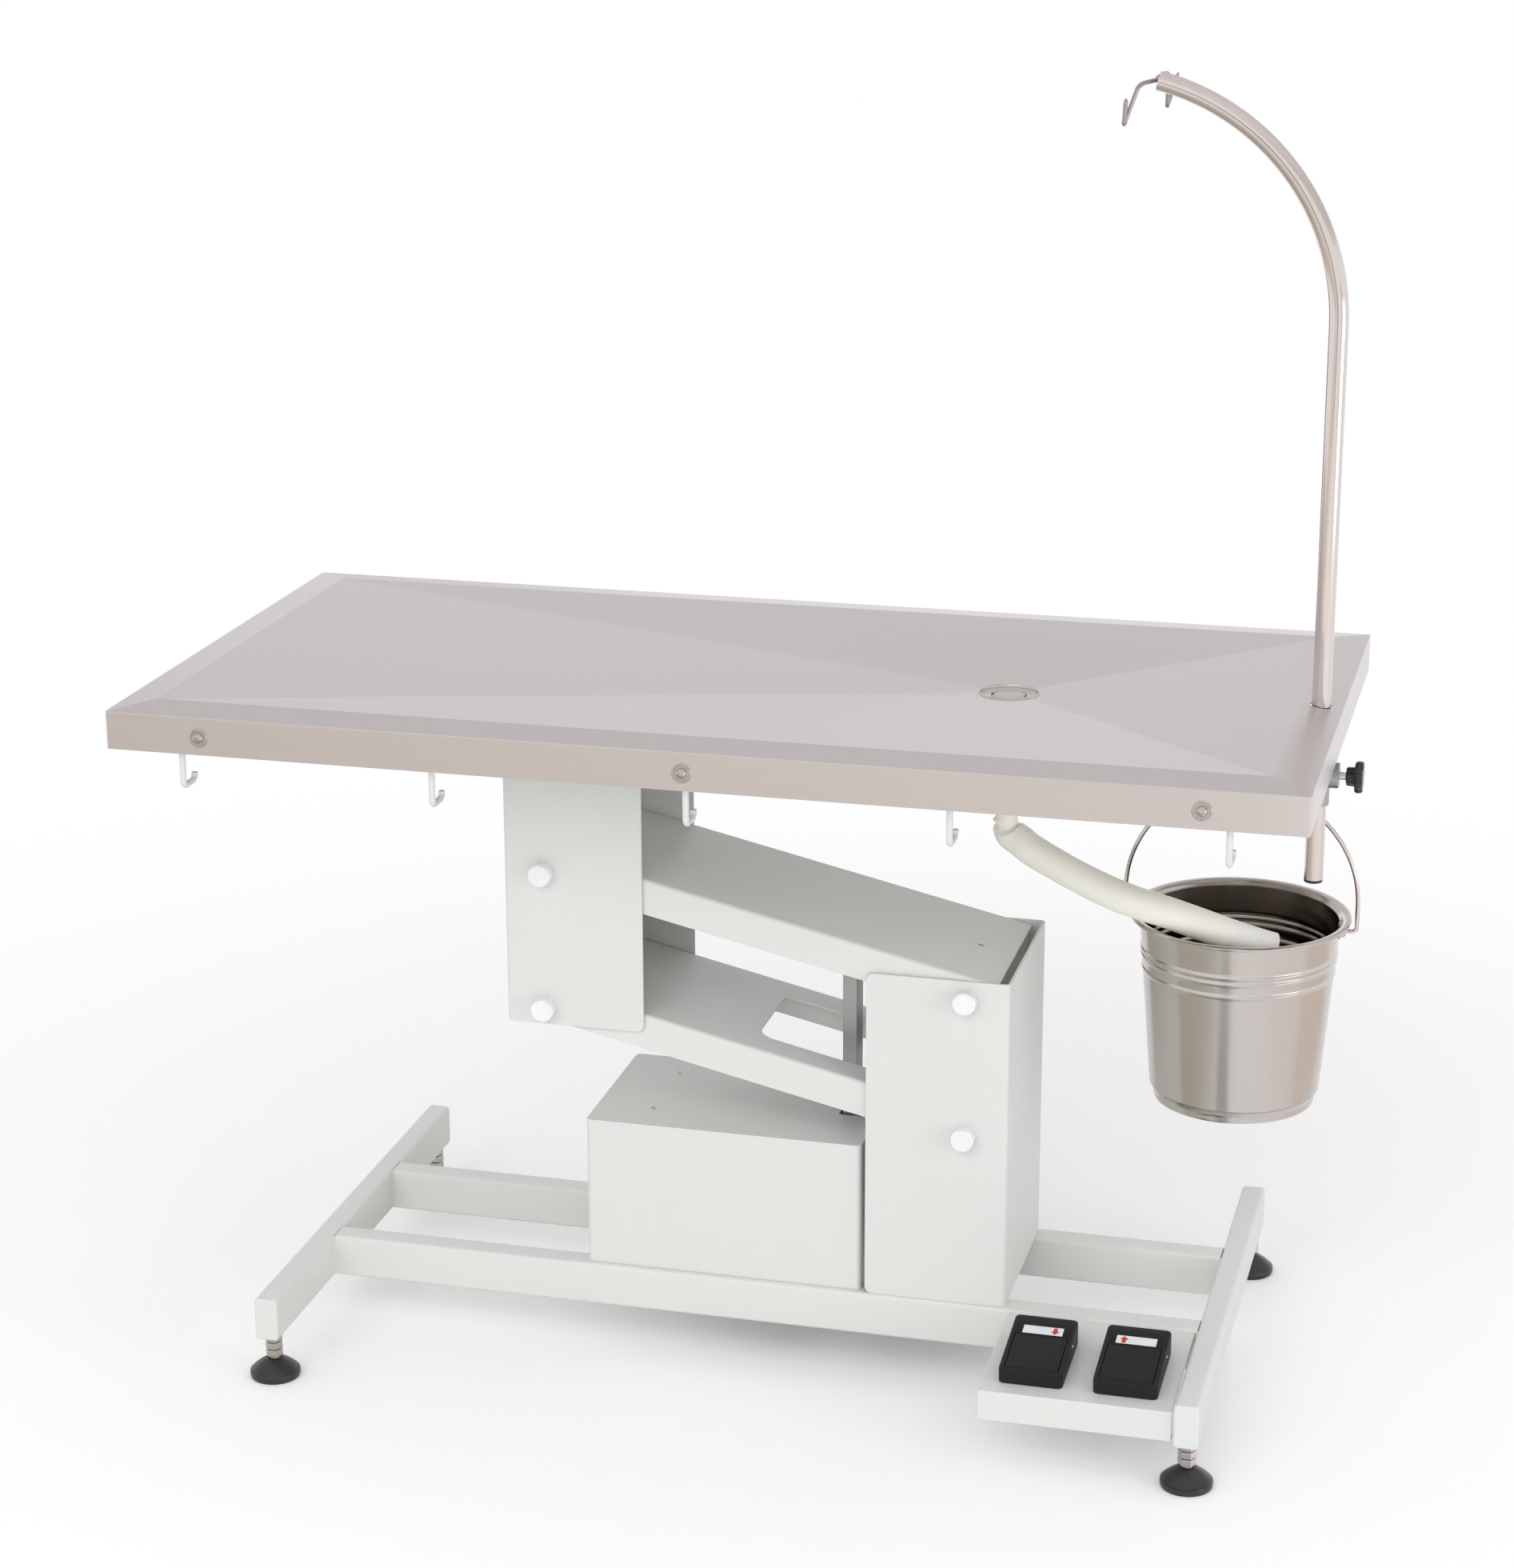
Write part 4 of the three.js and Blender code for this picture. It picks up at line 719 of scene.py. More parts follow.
class Pattern(Tree):
    """A Geometry Nodes tree that sets one shape at each point, then becomes a plain mesh."""

    def __init__(self, name: str, *sizes: str) -> None:
        """Starts a tree.

        Args:
            name: The tree's name.
            sizes: Names of its inputs for sizes.
        """
        group = bpy.data.node_groups.new(name, "GeometryNodeTree")
        super().__init__(group)
        kinds = {"Geometry": "Geometry", **dict.fromkeys(sizes, "Float"), "Material": "Material"}
        self.keys = {
            key: group.interface.new_socket(key, in_out="INPUT", socket_type=f"NodeSocket{kind}").identifier
            for key, kind in kinds.items()
        }
        group.interface.new_socket("Geometry", in_out="OUTPUT", socket_type="NodeSocketGeometry")
        self.entry = self.node("NodeGroupInput")

    def size(self, name: str) -> Socket:
        """One of the tree's inputs."""
        return Socket(self, self.entry.outputs[name])

    def vector(self, x: Socket | float, y: Socket | float, z: Socket | float) -> Socket:
        """A vector from its three parts."""
        return self.out("ShaderNodeCombineXYZ", {0: x, 1: y, 2: z})

    def wire(self, curve: Socket, radius: Socket, sides: int) -> Socket:
        """Draws a wire.

        Args:
            curve: Its middle.
            radius: Its radius.
            sides: Parts of its circle.

        Returns:
            The wire.
        """
        circle = self.out("GeometryNodeCurvePrimitiveCircle", {"Resolution": sides, "Radius": radius})
        inputs = {"Curve": curve, "Profile Curve": circle, "Fill Caps": True}
        return self.out("GeometryNodeCurveToMesh", inputs)

    def close(self, shape: Socket, **turn: Socket) -> "Pattern":
        """Ends the tree: the shape at each point, made real and given its material.

        Args:
            shape: What stands at each point.
            turn: Rotation of the shape, if it has one.

        Returns:
            The pattern itself.
        """
        inputs = {"Points": self.size("Geometry"), "Instance": shape, **turn}
        placed = self.out("GeometryNodeInstanceOnPoints", inputs)
        real = self.out("GeometryNodeRealizeInstances", {"Geometry": placed})
        dress = {"Geometry": real, "Material": self.size("Material")}
        self.node("NodeGroupOutput", {"Geometry": self.out("GeometryNodeSetMaterial", dress)})
        return self

    def mesh(
        self, name: str, points: Iterable[Vector], finish: Finish, sizes: Mapping[str, float]
    ) -> bpy.types.Mesh:
        """Runs the tree.

        Args:
            name: The mesh's name.
            points: Where the shapes stand.
            finish: Their finish.
            sizes: Values of the named inputs.

        Returns:
            A plain mesh.
        """
        spots = bpy.data.meshes.new(name)
        spots.from_pydata([tuple(point) for point in points], [], [])
        carrier = put(name, spots)
        modifier = carrier.modifiers.new("Pattern", "NODES")
        modifier.node_group = self.tree
        for key, value in {**sizes, "Material": finish.material()}.items():
            modifier[self.keys[key]] = value
        made = final(carrier)
        bpy.data.objects.remove(carrier)
        made.name = name
        made.shade_smooth()
        made.set_sharp_from_angle(angle=math.radians(SHARP))
        return made


def screw_pattern() -> Pattern:
    """Domed socket screws in round cup washers, tilted about X.

    Returns:
        The tree.
    """
    names = ("Ring Radius", "Ring Wire", "Head Radius", "Head Height", "Socket Radius", "Tilt")
    tree = Pattern("screws", *names)
    ring, wire, head, height, socket, tilt = (tree.size(name) for name in names)
    circle = tree.out("GeometryNodeCurvePrimitiveCircle", {"Resolution": 40, "Radius": ring})
    washer = tree.wire(circle, wire, 12)
    plate = tree.out("GeometryNodeMeshCylinder", {"Vertices": 40, "Radius": ring, "Depth": wire * 0.7})
    ball = tree.out("GeometryNodeMeshUVSphere", {"Segments": 32, "Rings": 16, "Radius": 1.0})
    dome = tree.out("GeometryNodeTransform", {"Geometry": ball, "Scale": tree.vector(head, head, height)})
    key = tree.out("GeometryNodeMeshCylinder", {"Vertices": 6, "Radius": socket, "Depth": height})
    lift = {"Geometry": key, "Translation": tree.vector(0.0, 0.0, height * 1.05)}
    pair = {"Mesh 1": dome, "Mesh 2": tree.out("GeometryNodeTransform", lift)}
    drilled = tree.out("GeometryNodeMeshBoolean", pair, operation="DIFFERENCE")
    whole = tree.out("GeometryNodeJoinGeometry", {0: [washer, plate, drilled]})
    turn = tree.out("FunctionNodeEulerToRotation", {0: tree.vector(tilt, 0.0, 0.0)})
    return tree.close(whole, Rotation=turn)


def hook_pattern() -> Pattern:
    """Wire hooks that hang down, turn inwards along Y and end in a raised tip.

    Returns:
        The tree.
    """
    names = ("Drop", "Reach", "Rise", "Bend", "Wire")
    tree = Pattern("hooks", *names)
    drop, reach, rise, bend, wire = (tree.size(name) for name in names)
    index = tree.out("GeometryNodeInputIndex")
    spot = tree.vector(0.0, reach * (index > 1.5), rise * (index > 2.5) - drop * (index > 0.5))
    line = tree.out("GeometryNodeMeshLine", {"Count": 4})
    bent = tree.out("GeometryNodeSetPosition", {"Geometry": line, "Position": spot})
    curve = tree.out("GeometryNodeMeshToCurve", {0: bent})
    round_off = {"Curve": curve, "Count": 8, "Radius": bend, "Limit Radius": True}
    return tree.close(tree.wire(tree.out("GeometryNodeFilletCurve", round_off, mode="POLY"), wire, 20))


def thread_pattern() -> Pattern:
    """Screw threads as a helix of fine wire.

    Returns:
        The tree.
    """
    names = ("Radius", "Height", "Turns", "Depth")
    tree = Pattern("threads", *names)
    radius, height, turns, depth = (tree.size(name) for name in names)
    spiral = {"Resolution": 28, "Rotations": turns, "Start Radius": radius, "End Radius": radius,
              "Height": height}
    return tree.close(tree.wire(tree.out("GeometryNodeCurveSpiral", spiral), depth, 6))


def bead_pattern() -> Pattern:
    """Low round beads of a painted weld.

    Returns:
        The tree.
    """
    tree = Pattern("weld_beads", "Radius", "Flatness")
    ball = tree.out("GeometryNodeMeshIcoSphere", {"Radius": 1.0, "Subdivisions": 2})
    radius = tree.size("Radius")
    scale = tree.vector(radius, radius, radius * tree.size("Flatness"))
    return tree.close(tree.out("GeometryNodeTransform", {"Geometry": ball, "Scale": scale}))


SCREWS, HOOKS, THREADS, BEADS = screw_pattern(), hook_pattern(), thread_pattern(), bead_pattern()


class Side(Enum):
    """Directions in which a turned piece may point."""

    UP = Matrix.Identity(4)
    FRONT = Matrix.Rotation(QUARTER, 4, "X")
    RIGHT = Matrix(((0, 0, 1, 0), (1, 0, 0, 0), (0, 1, 0, 0), (0, 0, 0, 1)))


def at(place: Vector, side: Side = Side.UP) -> Matrix:
    """Place and direction of a turned piece."""
    return Matrix.Translation(place) @ side.value


def middle(node: str, z: float | None = None) -> Vector:
    """Middle of a solid's box, or the point over or under it at a height."""
    spot = sum(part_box(node), Vector()) / 2
    return spot if z is None else Vector((spot.x, spot.y, z))


class Assembly:
    """A group of pieces, each of which stands for a solid or rides with one."""

    def add(
        self, name: str, drawn: Shape | bpy.types.Mesh, finish: Finish, node: str, hides: bool = True,
        sharp: float = SHARP,
    ) -> bpy.types.Object:
        """Adds a piece.

        Args:
            name: The piece's name.
            drawn: Its shape or mesh, in the part's frame.
            finish: Its finish.
            node: The solid whose body it rides with.
            hides: Whether it stands for that solid.
            sharp: Edges of a shape over this angle, in degrees, stay sharp.

        Returns:
            The piece.
        """
        mesh = drawn.mesh(name, sharp) if isinstance(drawn, Shape) else drawn
        made = put(name, mesh)
        mesh.materials.clear()
        mesh.materials.append(finish.material())
        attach(made, frame["nodes"][node]["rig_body"])
        if hides:
            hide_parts(node)
        LOG.info("%s: %d faces", name, len(mesh.polygons))
        return made

    def scatter(
        self, pattern: Pattern, name: str, points: Iterable[Vector], finish: Finish, node: str,
        sizes: Mapping[str, float],
    ) -> None:
        """Adds a pattern as one piece.

        Args:
            pattern: What is repeated.
            name: The piece's name.
            points: Where it stands.
            finish: Its finish.
            node: The solid whose body it rides with.
            sizes: Values of the pattern's inputs.
        """
        self.add(name, pattern.mesh(name, points, finish, sizes), finish, node, hides=False)

    def bevel(self, piece: bpy.types.Object, width: float, segments: int = 2) -> None:
        """Rounds a piece's edges.

        Args:
            piece: The piece.
            width: Width of the rounding.
            segments: Parts of the rounding.
        """
        modifier = piece.modifiers.new("Bevel", "BEVEL")
        modifier.width, modifier.segments = width, segments
        modifier.limit_method, modifier.angle_limit = "ANGLE", math.radians(BEVEL_ANGLE)
        modifier.harden_normals, modifier.use_clamp_overlap = True, False

    def soften(self, finish: Finish, width: float, *nodes: str, segments: int = 2) -> None:
        """Stands copies with rounded edges in for solids.

        Args:
            finish: Their finish.
            width: Width of the rounding.
            nodes: The solids.
            segments: Parts of the rounding.
        """
        for node in nodes:
            mesh = frame["nodes"][node].data.copy()
            mesh.name = f"{node}_skin"
            if "custom_normal" in mesh.attributes:
                mesh.attributes.remove(mesh.attributes["custom_normal"])
            with editing(mesh) as edit:
                bmesh.ops.remove_doubles(edit, verts=edit.verts, dist=WELD_GAP)
                flat = math.radians(FLAT_ANGLE)
                bmesh.ops.dissolve_limit(edit, angle_limit=flat, verts=edit.verts, edges=edit.edges)
            mesh.shade_smooth()
            mesh.set_sharp_from_angle(angle=math.radians(SHARP))
            self.bevel(self.add(mesh.name, mesh, finish, node), width, segments)


@dataclass
class BaseFrame(Assembly):
    """Welded floor frame on four levelling feet."""

    weld: float = 1.6 * MM
    weld_step: float = 2.2 * MM
    weld_inset: float = 3 * MM
    weld_flatness: float = 0.9
    pad_edge: float = 7 * MM
    pad_neck: float = 8 * MM
    pad_sink: float = 4 * MM
    pad_socket: float = 4 * MM
    cone_share: float = 0.8
    cone_steps: int = 9
    stud_radius: float = 5 * MM
    stud_bare: float = 2.6 * MM
    stud_cut: float = 1 * MM
    nut_radius: float = 9.7 * MM
    nut_cut: float = 1.2 * MM
    nut_gap: float = 0.9 * MM
    nuts: int = 3
    thread_pitch: float = 1.5 * MM
    thread_depth: float = 0.45 * MM

    def build(self) -> None:
        """Builds beams, rails, welds and feet."""
        self.soften(COAT, 2.0 * MM, "left_beam", "right_beam", segments=4)
        self.soften(COAT, 1.2 * MM, "front_rail", "back_rail", segments=4)
        for place in ("front", "back"):
            self.welds(f"{place}_rail")
        for place in ("front", "back"):
            for side in ("left", "right"):
                self.foot(f"{place}_{side}")

    def welds(self, rail: str) -> None:
        """Runs a bead up both sides of each end of a rail.

        Args:
            rail: The rail's solid.
        """
        low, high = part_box(rail)
        count = round((high.z - low.z - 2 * self.weld_inset) / self.weld_step)
        heights = [low.z + self.weld_inset + i * self.weld_step for i in range(count + 1)]
        points = [Vector((x, y, z)) for x in (low.x, high.x) for y in (low.y, high.y) for z in heights]
        sizes = {"Radius": self.weld, "Flatness": self.weld_flatness}
        self.scatter(BEADS, f"{rail}_welds", points, COAT, rail, sizes)

    def foot(self, name: str) -> None:
        """Builds one foot: pad, stud with its nuts, thread.

        Args:
            name: The foot's corner.
        """
        pad, stud = f"foot_pad_{name}", f"foot_stud_{name}"
        low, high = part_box(pad)
        spot = middle(pad, 0)
        r, top, edge, neck = (high.y - low.y) / 2, high.z - self.pad_sink, self.pad_edge, self.pad_neck
        profile = [(0, 0), (r - 1.6 * MM, 0), (r - 0.5 * MM, 0.4 * MM), (r, 1.6 * MM)]
        for t in (i / self.cone_steps for i in range(self.cone_steps + 1)):
            share, lift = math.cos(QUARTER * t), math.sin(QUARTER * t)
            share, lift = share + (1 - t - share) * self.cone_share, lift + (t - lift) * self.cone_share
            profile.append((neck + (r - neck) * share, edge + (top - edge) * lift))
        rod, seat = self.stud_radius, top - self.pad_socket
        profile += [(neck - 1 * MM, top), (rod, top), (rod, seat), (0, seat)]
        self.add(f"pad_{name}", Shape().lathe(profile, at(spot)), RUBBER, pad, sharp=50)

        foot, head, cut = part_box(stud)[0].z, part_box(stud)[1].z, self.stud_cut
        shape = Shape().lathe(
            [(0, foot), (rod, foot), (rod, head - cut), (rod - cut, head), (0, head)], at(spot), 32
        )
        start = top + self.stud_bare
        height = (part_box("left_beam")[0].z - start) / self.nuts
        for i in range(self.nuts):
            shape.lathe(self.nut(start + i * height, start + (i + 1) * height - self.nut_gap), at(spot), 6)
        self.bevel(self.add(f"stud_{name}", shape, NICKEL, stud, sharp=25), 0.4 * MM)
        sizes = {"Radius": rod, "Height": self.stud_bare, "Turns": self.stud_bare / self.thread_pitch,
                 "Depth": self.thread_depth}
        self.scatter(THREADS, f"thread_{name}", [middle(pad, top)], NICKEL, stud, sizes)

    def nut(self, low: float, high: float) -> list[Pair]:
        """Profile of a nut with chamfered corners."""
        r, cut = self.nut_radius, self.nut_cut
        return [(0, low), (r - cut, low), (r, low + cut / 2), (r, high - cut / 2), (r - cut, high), (0, high)]


@dataclass
class Lift(Assembly):
    """Column, parallelogram arms, head, pivots, actuator and box."""

    cap_nut: float = 5 * MM
    cap_gap: float = 0.6 * MM
    cap_round: float = 2.4 * MM
    cap_dish: float = 0.35 * MM
    screw_inset: float = 62 * MM
    screw_reach: float = 52 * MM

    def build(self) -> None:
        """Builds the lift."""
        self.soften(COAT, 0.7 * MM, "column", "head_bracket", "upper_arm", "lower_arm", "box_cover")
        self.soften(COAT, 0.5 * MM, "actuator_mount", "box_floor")
        self.soften(ALLOY, 0.6 * MM, "actuator_rod", "actuator_housing")
        self.soften(NICKEL, 0.5 * MM, "actuator_top_pin")
        self.soften(UNIT, 0.6 * MM, "actuator_motor", "control_unit", "power_inlet")
        for name in ("lower_left", "lower_right", "upper_left", "upper_right"):
            self.soften(NICKEL, 0.7 * MM, f"pivot_shaft_{name}")
            self.cap(name)
        self.box_screws()

    def cap(self, name: str) -> None:
        """Builds a pivot's white cap over its nut.

        Args:
            name: The pivot's corner.
        """
        node = f"pivot_cap_{name}"
        low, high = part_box(node)
        r, length, c = (high.x - low.x) / 2, high.y - low.y, self.cap_round
        nut, gap, face = self.cap_nut, self.cap_gap, length - self.cap_dish
        place = at(middle(node) + Vector((0, length / 2, 0)), Side.FRONT)
        profile = [(0, nut), (r - gap, nut), (r, nut + gap)]
        profile += [(r - c + c * math.sin(a), length - c + c * math.cos(a)) for a in
                    (QUARTER * (1 - i / 6) for i in range(7))]
        profile += [(r - c - 0.5 * MM, length), (r - c - 0.9 * MM, face), (0, face)]
        shape = Shape().lathe(profile, place)
        shape.lathe([(0, 0), (r, 0), (r, nut - gap), (0, nut - gap)], place, 6)
        self.bevel(self.add(f"cap_{name}", shape, CAP, node, sharp=30), 0.25 * MM)

    def box_screws(self) -> None:
        """Sets two screws in the top of the box."""
        low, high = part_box("box_cover")
        points = [Vector((low.x + self.screw_inset, side * self.screw_reach, high.z)) for side in (-1, 1)]
        sizes = {"Ring Radius": 3.3 * MM, "Ring Wire": 0.4 * MM, "Head Radius": 3.0 * MM,
                 "Head Height": 1.7 * MM, "Socket Radius": 1.3 * MM, "Tilt": 0.0}
        self.scatter(SCREWS, "box_screws", points, NICKEL, "box_cover", sizes)


@dataclass
class Pedals(Assembly):
    """Tray with two foot pedals."""

    label_width: float = 41 * MM
    label_length: float = 14 * MM
    label_gap: float = 2.2 * MM
    film: float = 0.25 * MM
    ink: float = 0.12 * MM
    arrow_inset: float = 8 * MM
    arrow_head: float = 4.6 * MM
    arrow_stem: float = 2.1 * MM
    arrow_tip: float = 5.8 * MM
    tray_slope: float = math.atan2(8, 166.5)
    length: float = 101 * MM
    front_height: float = 16 * MM
    back_height: float = 25 * MM
    corner: float = 5.5 * MM
    edge: float = 1.8 * MM
    foot_cut: float = 0.8 * MM
    wall: float = 5 * MM
    recess_end: float = 66.2 * MM
    recess_floor: float = 3 * MM
    recess_lip: float = 0.5 * MM

    def build(self) -> None:
        """Builds the tray and both pedals."""
        self.soften(COAT, 0.9 * MM, "pedal_tray", segments=3)
        for name, toward_front in (("down", True), ("up", False)):
            self.housing(name)
            self.soften(PEDAL, 1.0 * MM, f"pedal_tread_{name}", segments=3)
            self.soften(NICKEL, 0.3 * MM, f"pedal_pin_{name}")
            self.label(name, toward_front)

    def outline(self, half: float, start: float, end: float, corner: float) -> Ring:
        """A rounded rectangle, half as wide as given, from start to end of a housing's length."""
        return rounded((0, (start + end) / 2), (half, (end - start) / 2), corner, 6)

    def housing(self, name: str) -> None:
        """Builds a pedal's wedge with round corners and the recess for its tread.

        Args:
            name: The pedal's name.
        """
        node = f"pedal_housing_{name}"
        low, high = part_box(node)
        half, e, cut, lip = (high.x - low.x) / 2, self.edge, self.foot_cut, self.recess_lip
        front = Vector((middle(node).x, low.y + self.front_height * math.sin(self.tray_slope), low.z))
        place = Matrix.Translation(front) @ Matrix.Rotation(self.tray_slope, 4, "X")
        slope = (self.back_height - self.front_height) / self.length

        def ring(points: Ring, drop: float, level: float | None = None) -> Ring:
            """An outline at a level, or under the sloping top by a drop."""
            top = self.front_height - drop
            return [place @ Vector((x, y, top + slope * y if level is None else level)) for x, y in points]

        def side(inset: float) -> Ring:
            """The outer outline, drawn in."""
            return self.outline(half - inset, inset, self.length - inset, self.corner - inset)

        def pit(spread: float) -> Ring:
            """The recess's outline, spread outwards."""
            inset = self.wall - spread
            return self.outline(half - inset, inset, self.recess_end + spread, 1 * MM)

        rings = [ring(side(cut), 0, 0.0), ring(side(0.0), 0, cut)]
        rings += [ring(side(e * (1 - math.cos(a))), e * (1 - math.sin(a))) for a in
                  (QUARTER * k / 4 for k in range(5))]
        rings += [ring(pit(lip), 0.0), ring(pit(0.0), lip), ring(pit(0.0), 0, self.recess_floor)]
        self.add(f"{node}_skin", Shape().skin(rings, ends=True), PEDAL, node, sharp=40)

    def label(self, name: str, toward_front: bool) -> None:
        """Sticks a strip with an arrow behind a pedal's tread.

        Args:
            name: The pedal's name.
            toward_front: Whether the arrow points to the front.
        """
        node = f"pedal_housing_{name}"
        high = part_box(node)[1]
        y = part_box(f"pedal_tread_{name}")[1].y + self.label_gap + self.label_length / 2
        slope = self.tray_slope + math.atan2(self.back_height - self.front_height, self.length)
        spot = Vector((middle(node).x, y, high.z - (high.y - y) * math.tan(slope)))
        place = Matrix.Translation(spot) @ Matrix.Rotation(slope, 4, "X")
        half, deep = self.label_width / 2, self.label_length / 2
        corners = [(-half, -deep), (half, -deep), (half, deep), (-half, deep)]
        strip = Shape().slab(corners, -self.film, self.film, place)
        self.add(f"label_{name}", strip, LABEL, node, hides=False)
        side = 1 if toward_front else -1
        head, stem, tip = self.arrow_head, self.arrow_stem, self.arrow_tip
        outline = [(-stem, -tip), (stem, -tip), (stem, 0), (head, 0), (0, tip), (-head, 0), (-stem, 0)]
        turned = [(side * (half - self.arrow_inset - x), -side * y) for x, y in outline]
        arrow = Shape().slab(turned, 0, self.film + self.ink, place)
        self.add(f"arrow_{name}", arrow, ARROW, node, hides=False)


@dataclass
class TableTop(Assembly):
    """Stainless pan on its under-frame with tie hooks."""

    ridge_rise: float = 5 * MM
    ridge_inset: float = 40 * MM
    edge: float = 0.6 * MM
    corner: float = 2.5 * MM
    sheet: float = 1.5 * MM
    drain_hole: float = 30.3 * MM
    drain_sink: float = 2.1 * MM
    pole_hole: float = 11.2 * MM
    side_steps: int = 24
    hook_offsets: tuple[float, ...] = (-0.525, -0.26, 0.0, 0.26, 0.525)
    hook_inset: float = 15 * MM
    hook_root: float = 2 * MM
    hook_drop: float = 40 * MM
    hook_reach: float = 28 * MM
    hook_rise: float = 7 * MM
    hook_wire: float = 3.25 * MM
    screw_offsets: tuple[float, ...] = (-0.5, 0.0, 0.5)
    screw_drop: float = 21 * MM
    tube_width: float = 25 * MM
    tube_corner: float = 2 * MM
    tube_wall: float = 2 * MM
    bucket_wire: float = 3.5 * MM
    bucket_bend: float = 9 * MM
    bucket_drop: float = 56 * MM
    bucket_flare: float = 1.5 * MM

    def build(self) -> None:
        """Builds the pan, its screws and the under-frame."""
        self.pan()
        self.apron_screws()
        for place, face in (("front", -1), ("back", 1)):
            self.side_tube(place, face)
        ends, crosses = ("frame_end_left", "frame_end_right"), ("frame_cross_left", "frame_cross_right")
        self.soften(COAT, 0.8 * MM, *ends, *crosses)
        self.bucket_bar()

    def hole(self, outer: Ring, centre: Vector, radius: float) -> Ring:
        """A circle whose points face those of a rectangle's ring, side by side.

        Args:
            outer: The rectangle's ring.
            centre: The circle's middle.
            radius: Its radius.

        Returns:
            The circle's points.
        """
        count = len(outer) // 4
        starts = [outer[i * count] - centre for i in range(4)]
        angles = [math.atan2(start.y, start.x) for start in starts]
        shares = [max(0.0, (k - CORNER_PARTS) / (count - CORNER_PARTS)) for k in range(count)]
        points: Ring = []
        for angle, following in zip(angles, angles[1:] + angles[:1]):
            sweep = (following - angle) % TAU
            points += [centre + radius * polar(1.0, angle + sweep * share) for share in shares]
        return points

    def pan(self) -> None:
        """Builds the pan: apron, ridge and four facets that fall to the drain."""
        low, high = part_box("table_pan")
        centre, half, e = (low + high) / 2, (high - low) / 2, self.edge
        drain = middle("drain_body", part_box("drain_body")[1].z - self.drain_sink)
        top = high.z - self.ridge_rise
        slope = self.ridge_rise / self.ridge_inset
        rows = [(0.0, low.z), (0.0, top - e - 1 * MM), (0.0, top - e)]
        for a in (QUARTER * (1 - i / 4) for i in range(1, 5)):
            inset = e * (1 - math.sin(a))
            rows.append((inset, top - e * (1 - math.cos(a)) + slope * inset))
        rings = []
        for inset, z in [*rows, (self.ridge_inset, high.z)]:
            sides, corner = Vector((half.x - inset, half.y - inset)), max(0.0, self.corner - inset)
            outline = rounded(centre, sides, corner, parts=self.side_steps)
            rings.append([Vector((x, y, z)) for x, y in outline])
        rings.append(self.hole(rings[-1], drain, self.drain_hole))
        piece = self.add("pan", Shape().skin(rings).mesh("pan", 40, 1.1), SATIN, "table_pan")
        modifier = piece.modifiers.new("Sheet", "SOLIDIFY")
        modifier.thickness, modifier.offset = self.sheet, -1.0
        self.drill(piece, Vector((middle("pole_plug").x, 0, top)), self.pole_hole)

    def drill(self, piece: bpy.types.Object, spot: Vector, radius: float) -> None:
        """Cuts an upright round hole and makes the piece's modifiers final.

        Args:
            piece: The piece.
            spot: A point on the hole's axis, near the sheet.
            radius: The hole's radius.
        """
        depth = 4 * self.ridge_rise
        profile = [(0, -depth), (radius, -depth), (radius, depth), (0, depth)]
        cutter = put("cutter", Shape().lathe(profile, at(spot), 48).mesh("cutter"))
        modifier = piece.modifiers.new("Hole", "BOOLEAN")
        modifier.object, modifier.solver = cutter, "EXACT"
        piece.data = final(piece)
        piece.modifiers.clear()
        bpy.data.objects.remove(cutter)
        with editing(piece.data) as edit:
            for edge in edit.edges:
                edge.smooth = edge.smooth and edge.calc_face_angle(0.0) <= math.radians(BEVEL_ANGLE)

    def apron_screws(self) -> None:
        """Sets dished screws along the front and back of the apron."""
        low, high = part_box("table_pan")
        x, z = (low.x + high.x) / 2, high.z - self.ridge_rise - self.screw_drop
        for name, y, tilt in (("front", low.y, QUARTER), ("back", high.y, -QUARTER)):
            sizes = {"Ring Radius": 8.5 * MM, "Ring Wire": 1.4 * MM, "Head Radius": 5.8 * MM,
                     "Head Height": 4.4 * MM, "Socket Radius": 2.5 * MM, "Tilt": tilt}
            points = [Vector((x + offset, y, z)) for offset in self.screw_offsets]
            self.scatter(SCREWS, f"apron_screws_{name}", points, SCREW, "table_pan", sizes)

    def side_tube(self, place: str, face: int) -> None:
        """Builds a side tube of the under-frame and its tie hooks.

        Args:
            place: Front or back.
            face: Direction of its outer face along Y.
        """
        node, outer = f"frame_{place}", max(face, 0)
        box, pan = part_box(node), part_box("table_pan")
        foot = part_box("frame_end_left")[0].z
        y = box[outer].y - face * self.tube_width / 2
        self.add(f"side_tube_{place}", self.tube(box[0].x, box[1].x, y, foot, box[1].z), COAT, node)
        spot = Vector((middle("table_pan").x, pan[outer].y - face * self.hook_inset, foot + self.hook_root))
        points = [spot + Vector((offset, 0, 0)) for offset in self.hook_offsets]
        sizes = {"Drop": self.hook_drop + self.hook_root, "Reach": -face * self.hook_reach,
                 "Rise": self.hook_rise, "Bend": 2 * self.hook_wire, "Wire": self.hook_wire}
        self.scatter(HOOKS, f"tie_hooks_{place}", points, COAT, node, sizes)

    def tube(self, x0: float, x1: float, y: float, low: float, high: float) -> Shape:
        """A square tube along X, with open ends and rounded edges.

        Args:
            x0: Its left end.
            x1: Its right end.
            y: Its middle.
            low: Its underside.
            high: Its top.

        Returns:
            The tube.
        """
        def section(x: float, inset: float) -> Ring:
            """Draws the tube's outline.

            Args:
                x: Where along the tube.
                inset: How far it is drawn in.

            Returns:
                The outline.
            """
            half = (self.tube_width / 2 - inset, (high - low) / 2 - inset)
            outline = rounded((y, (low + high) / 2), half, max(0.4 * MM, self.tube_corner - inset))
            return [Vector((x, *point)) for point in outline]

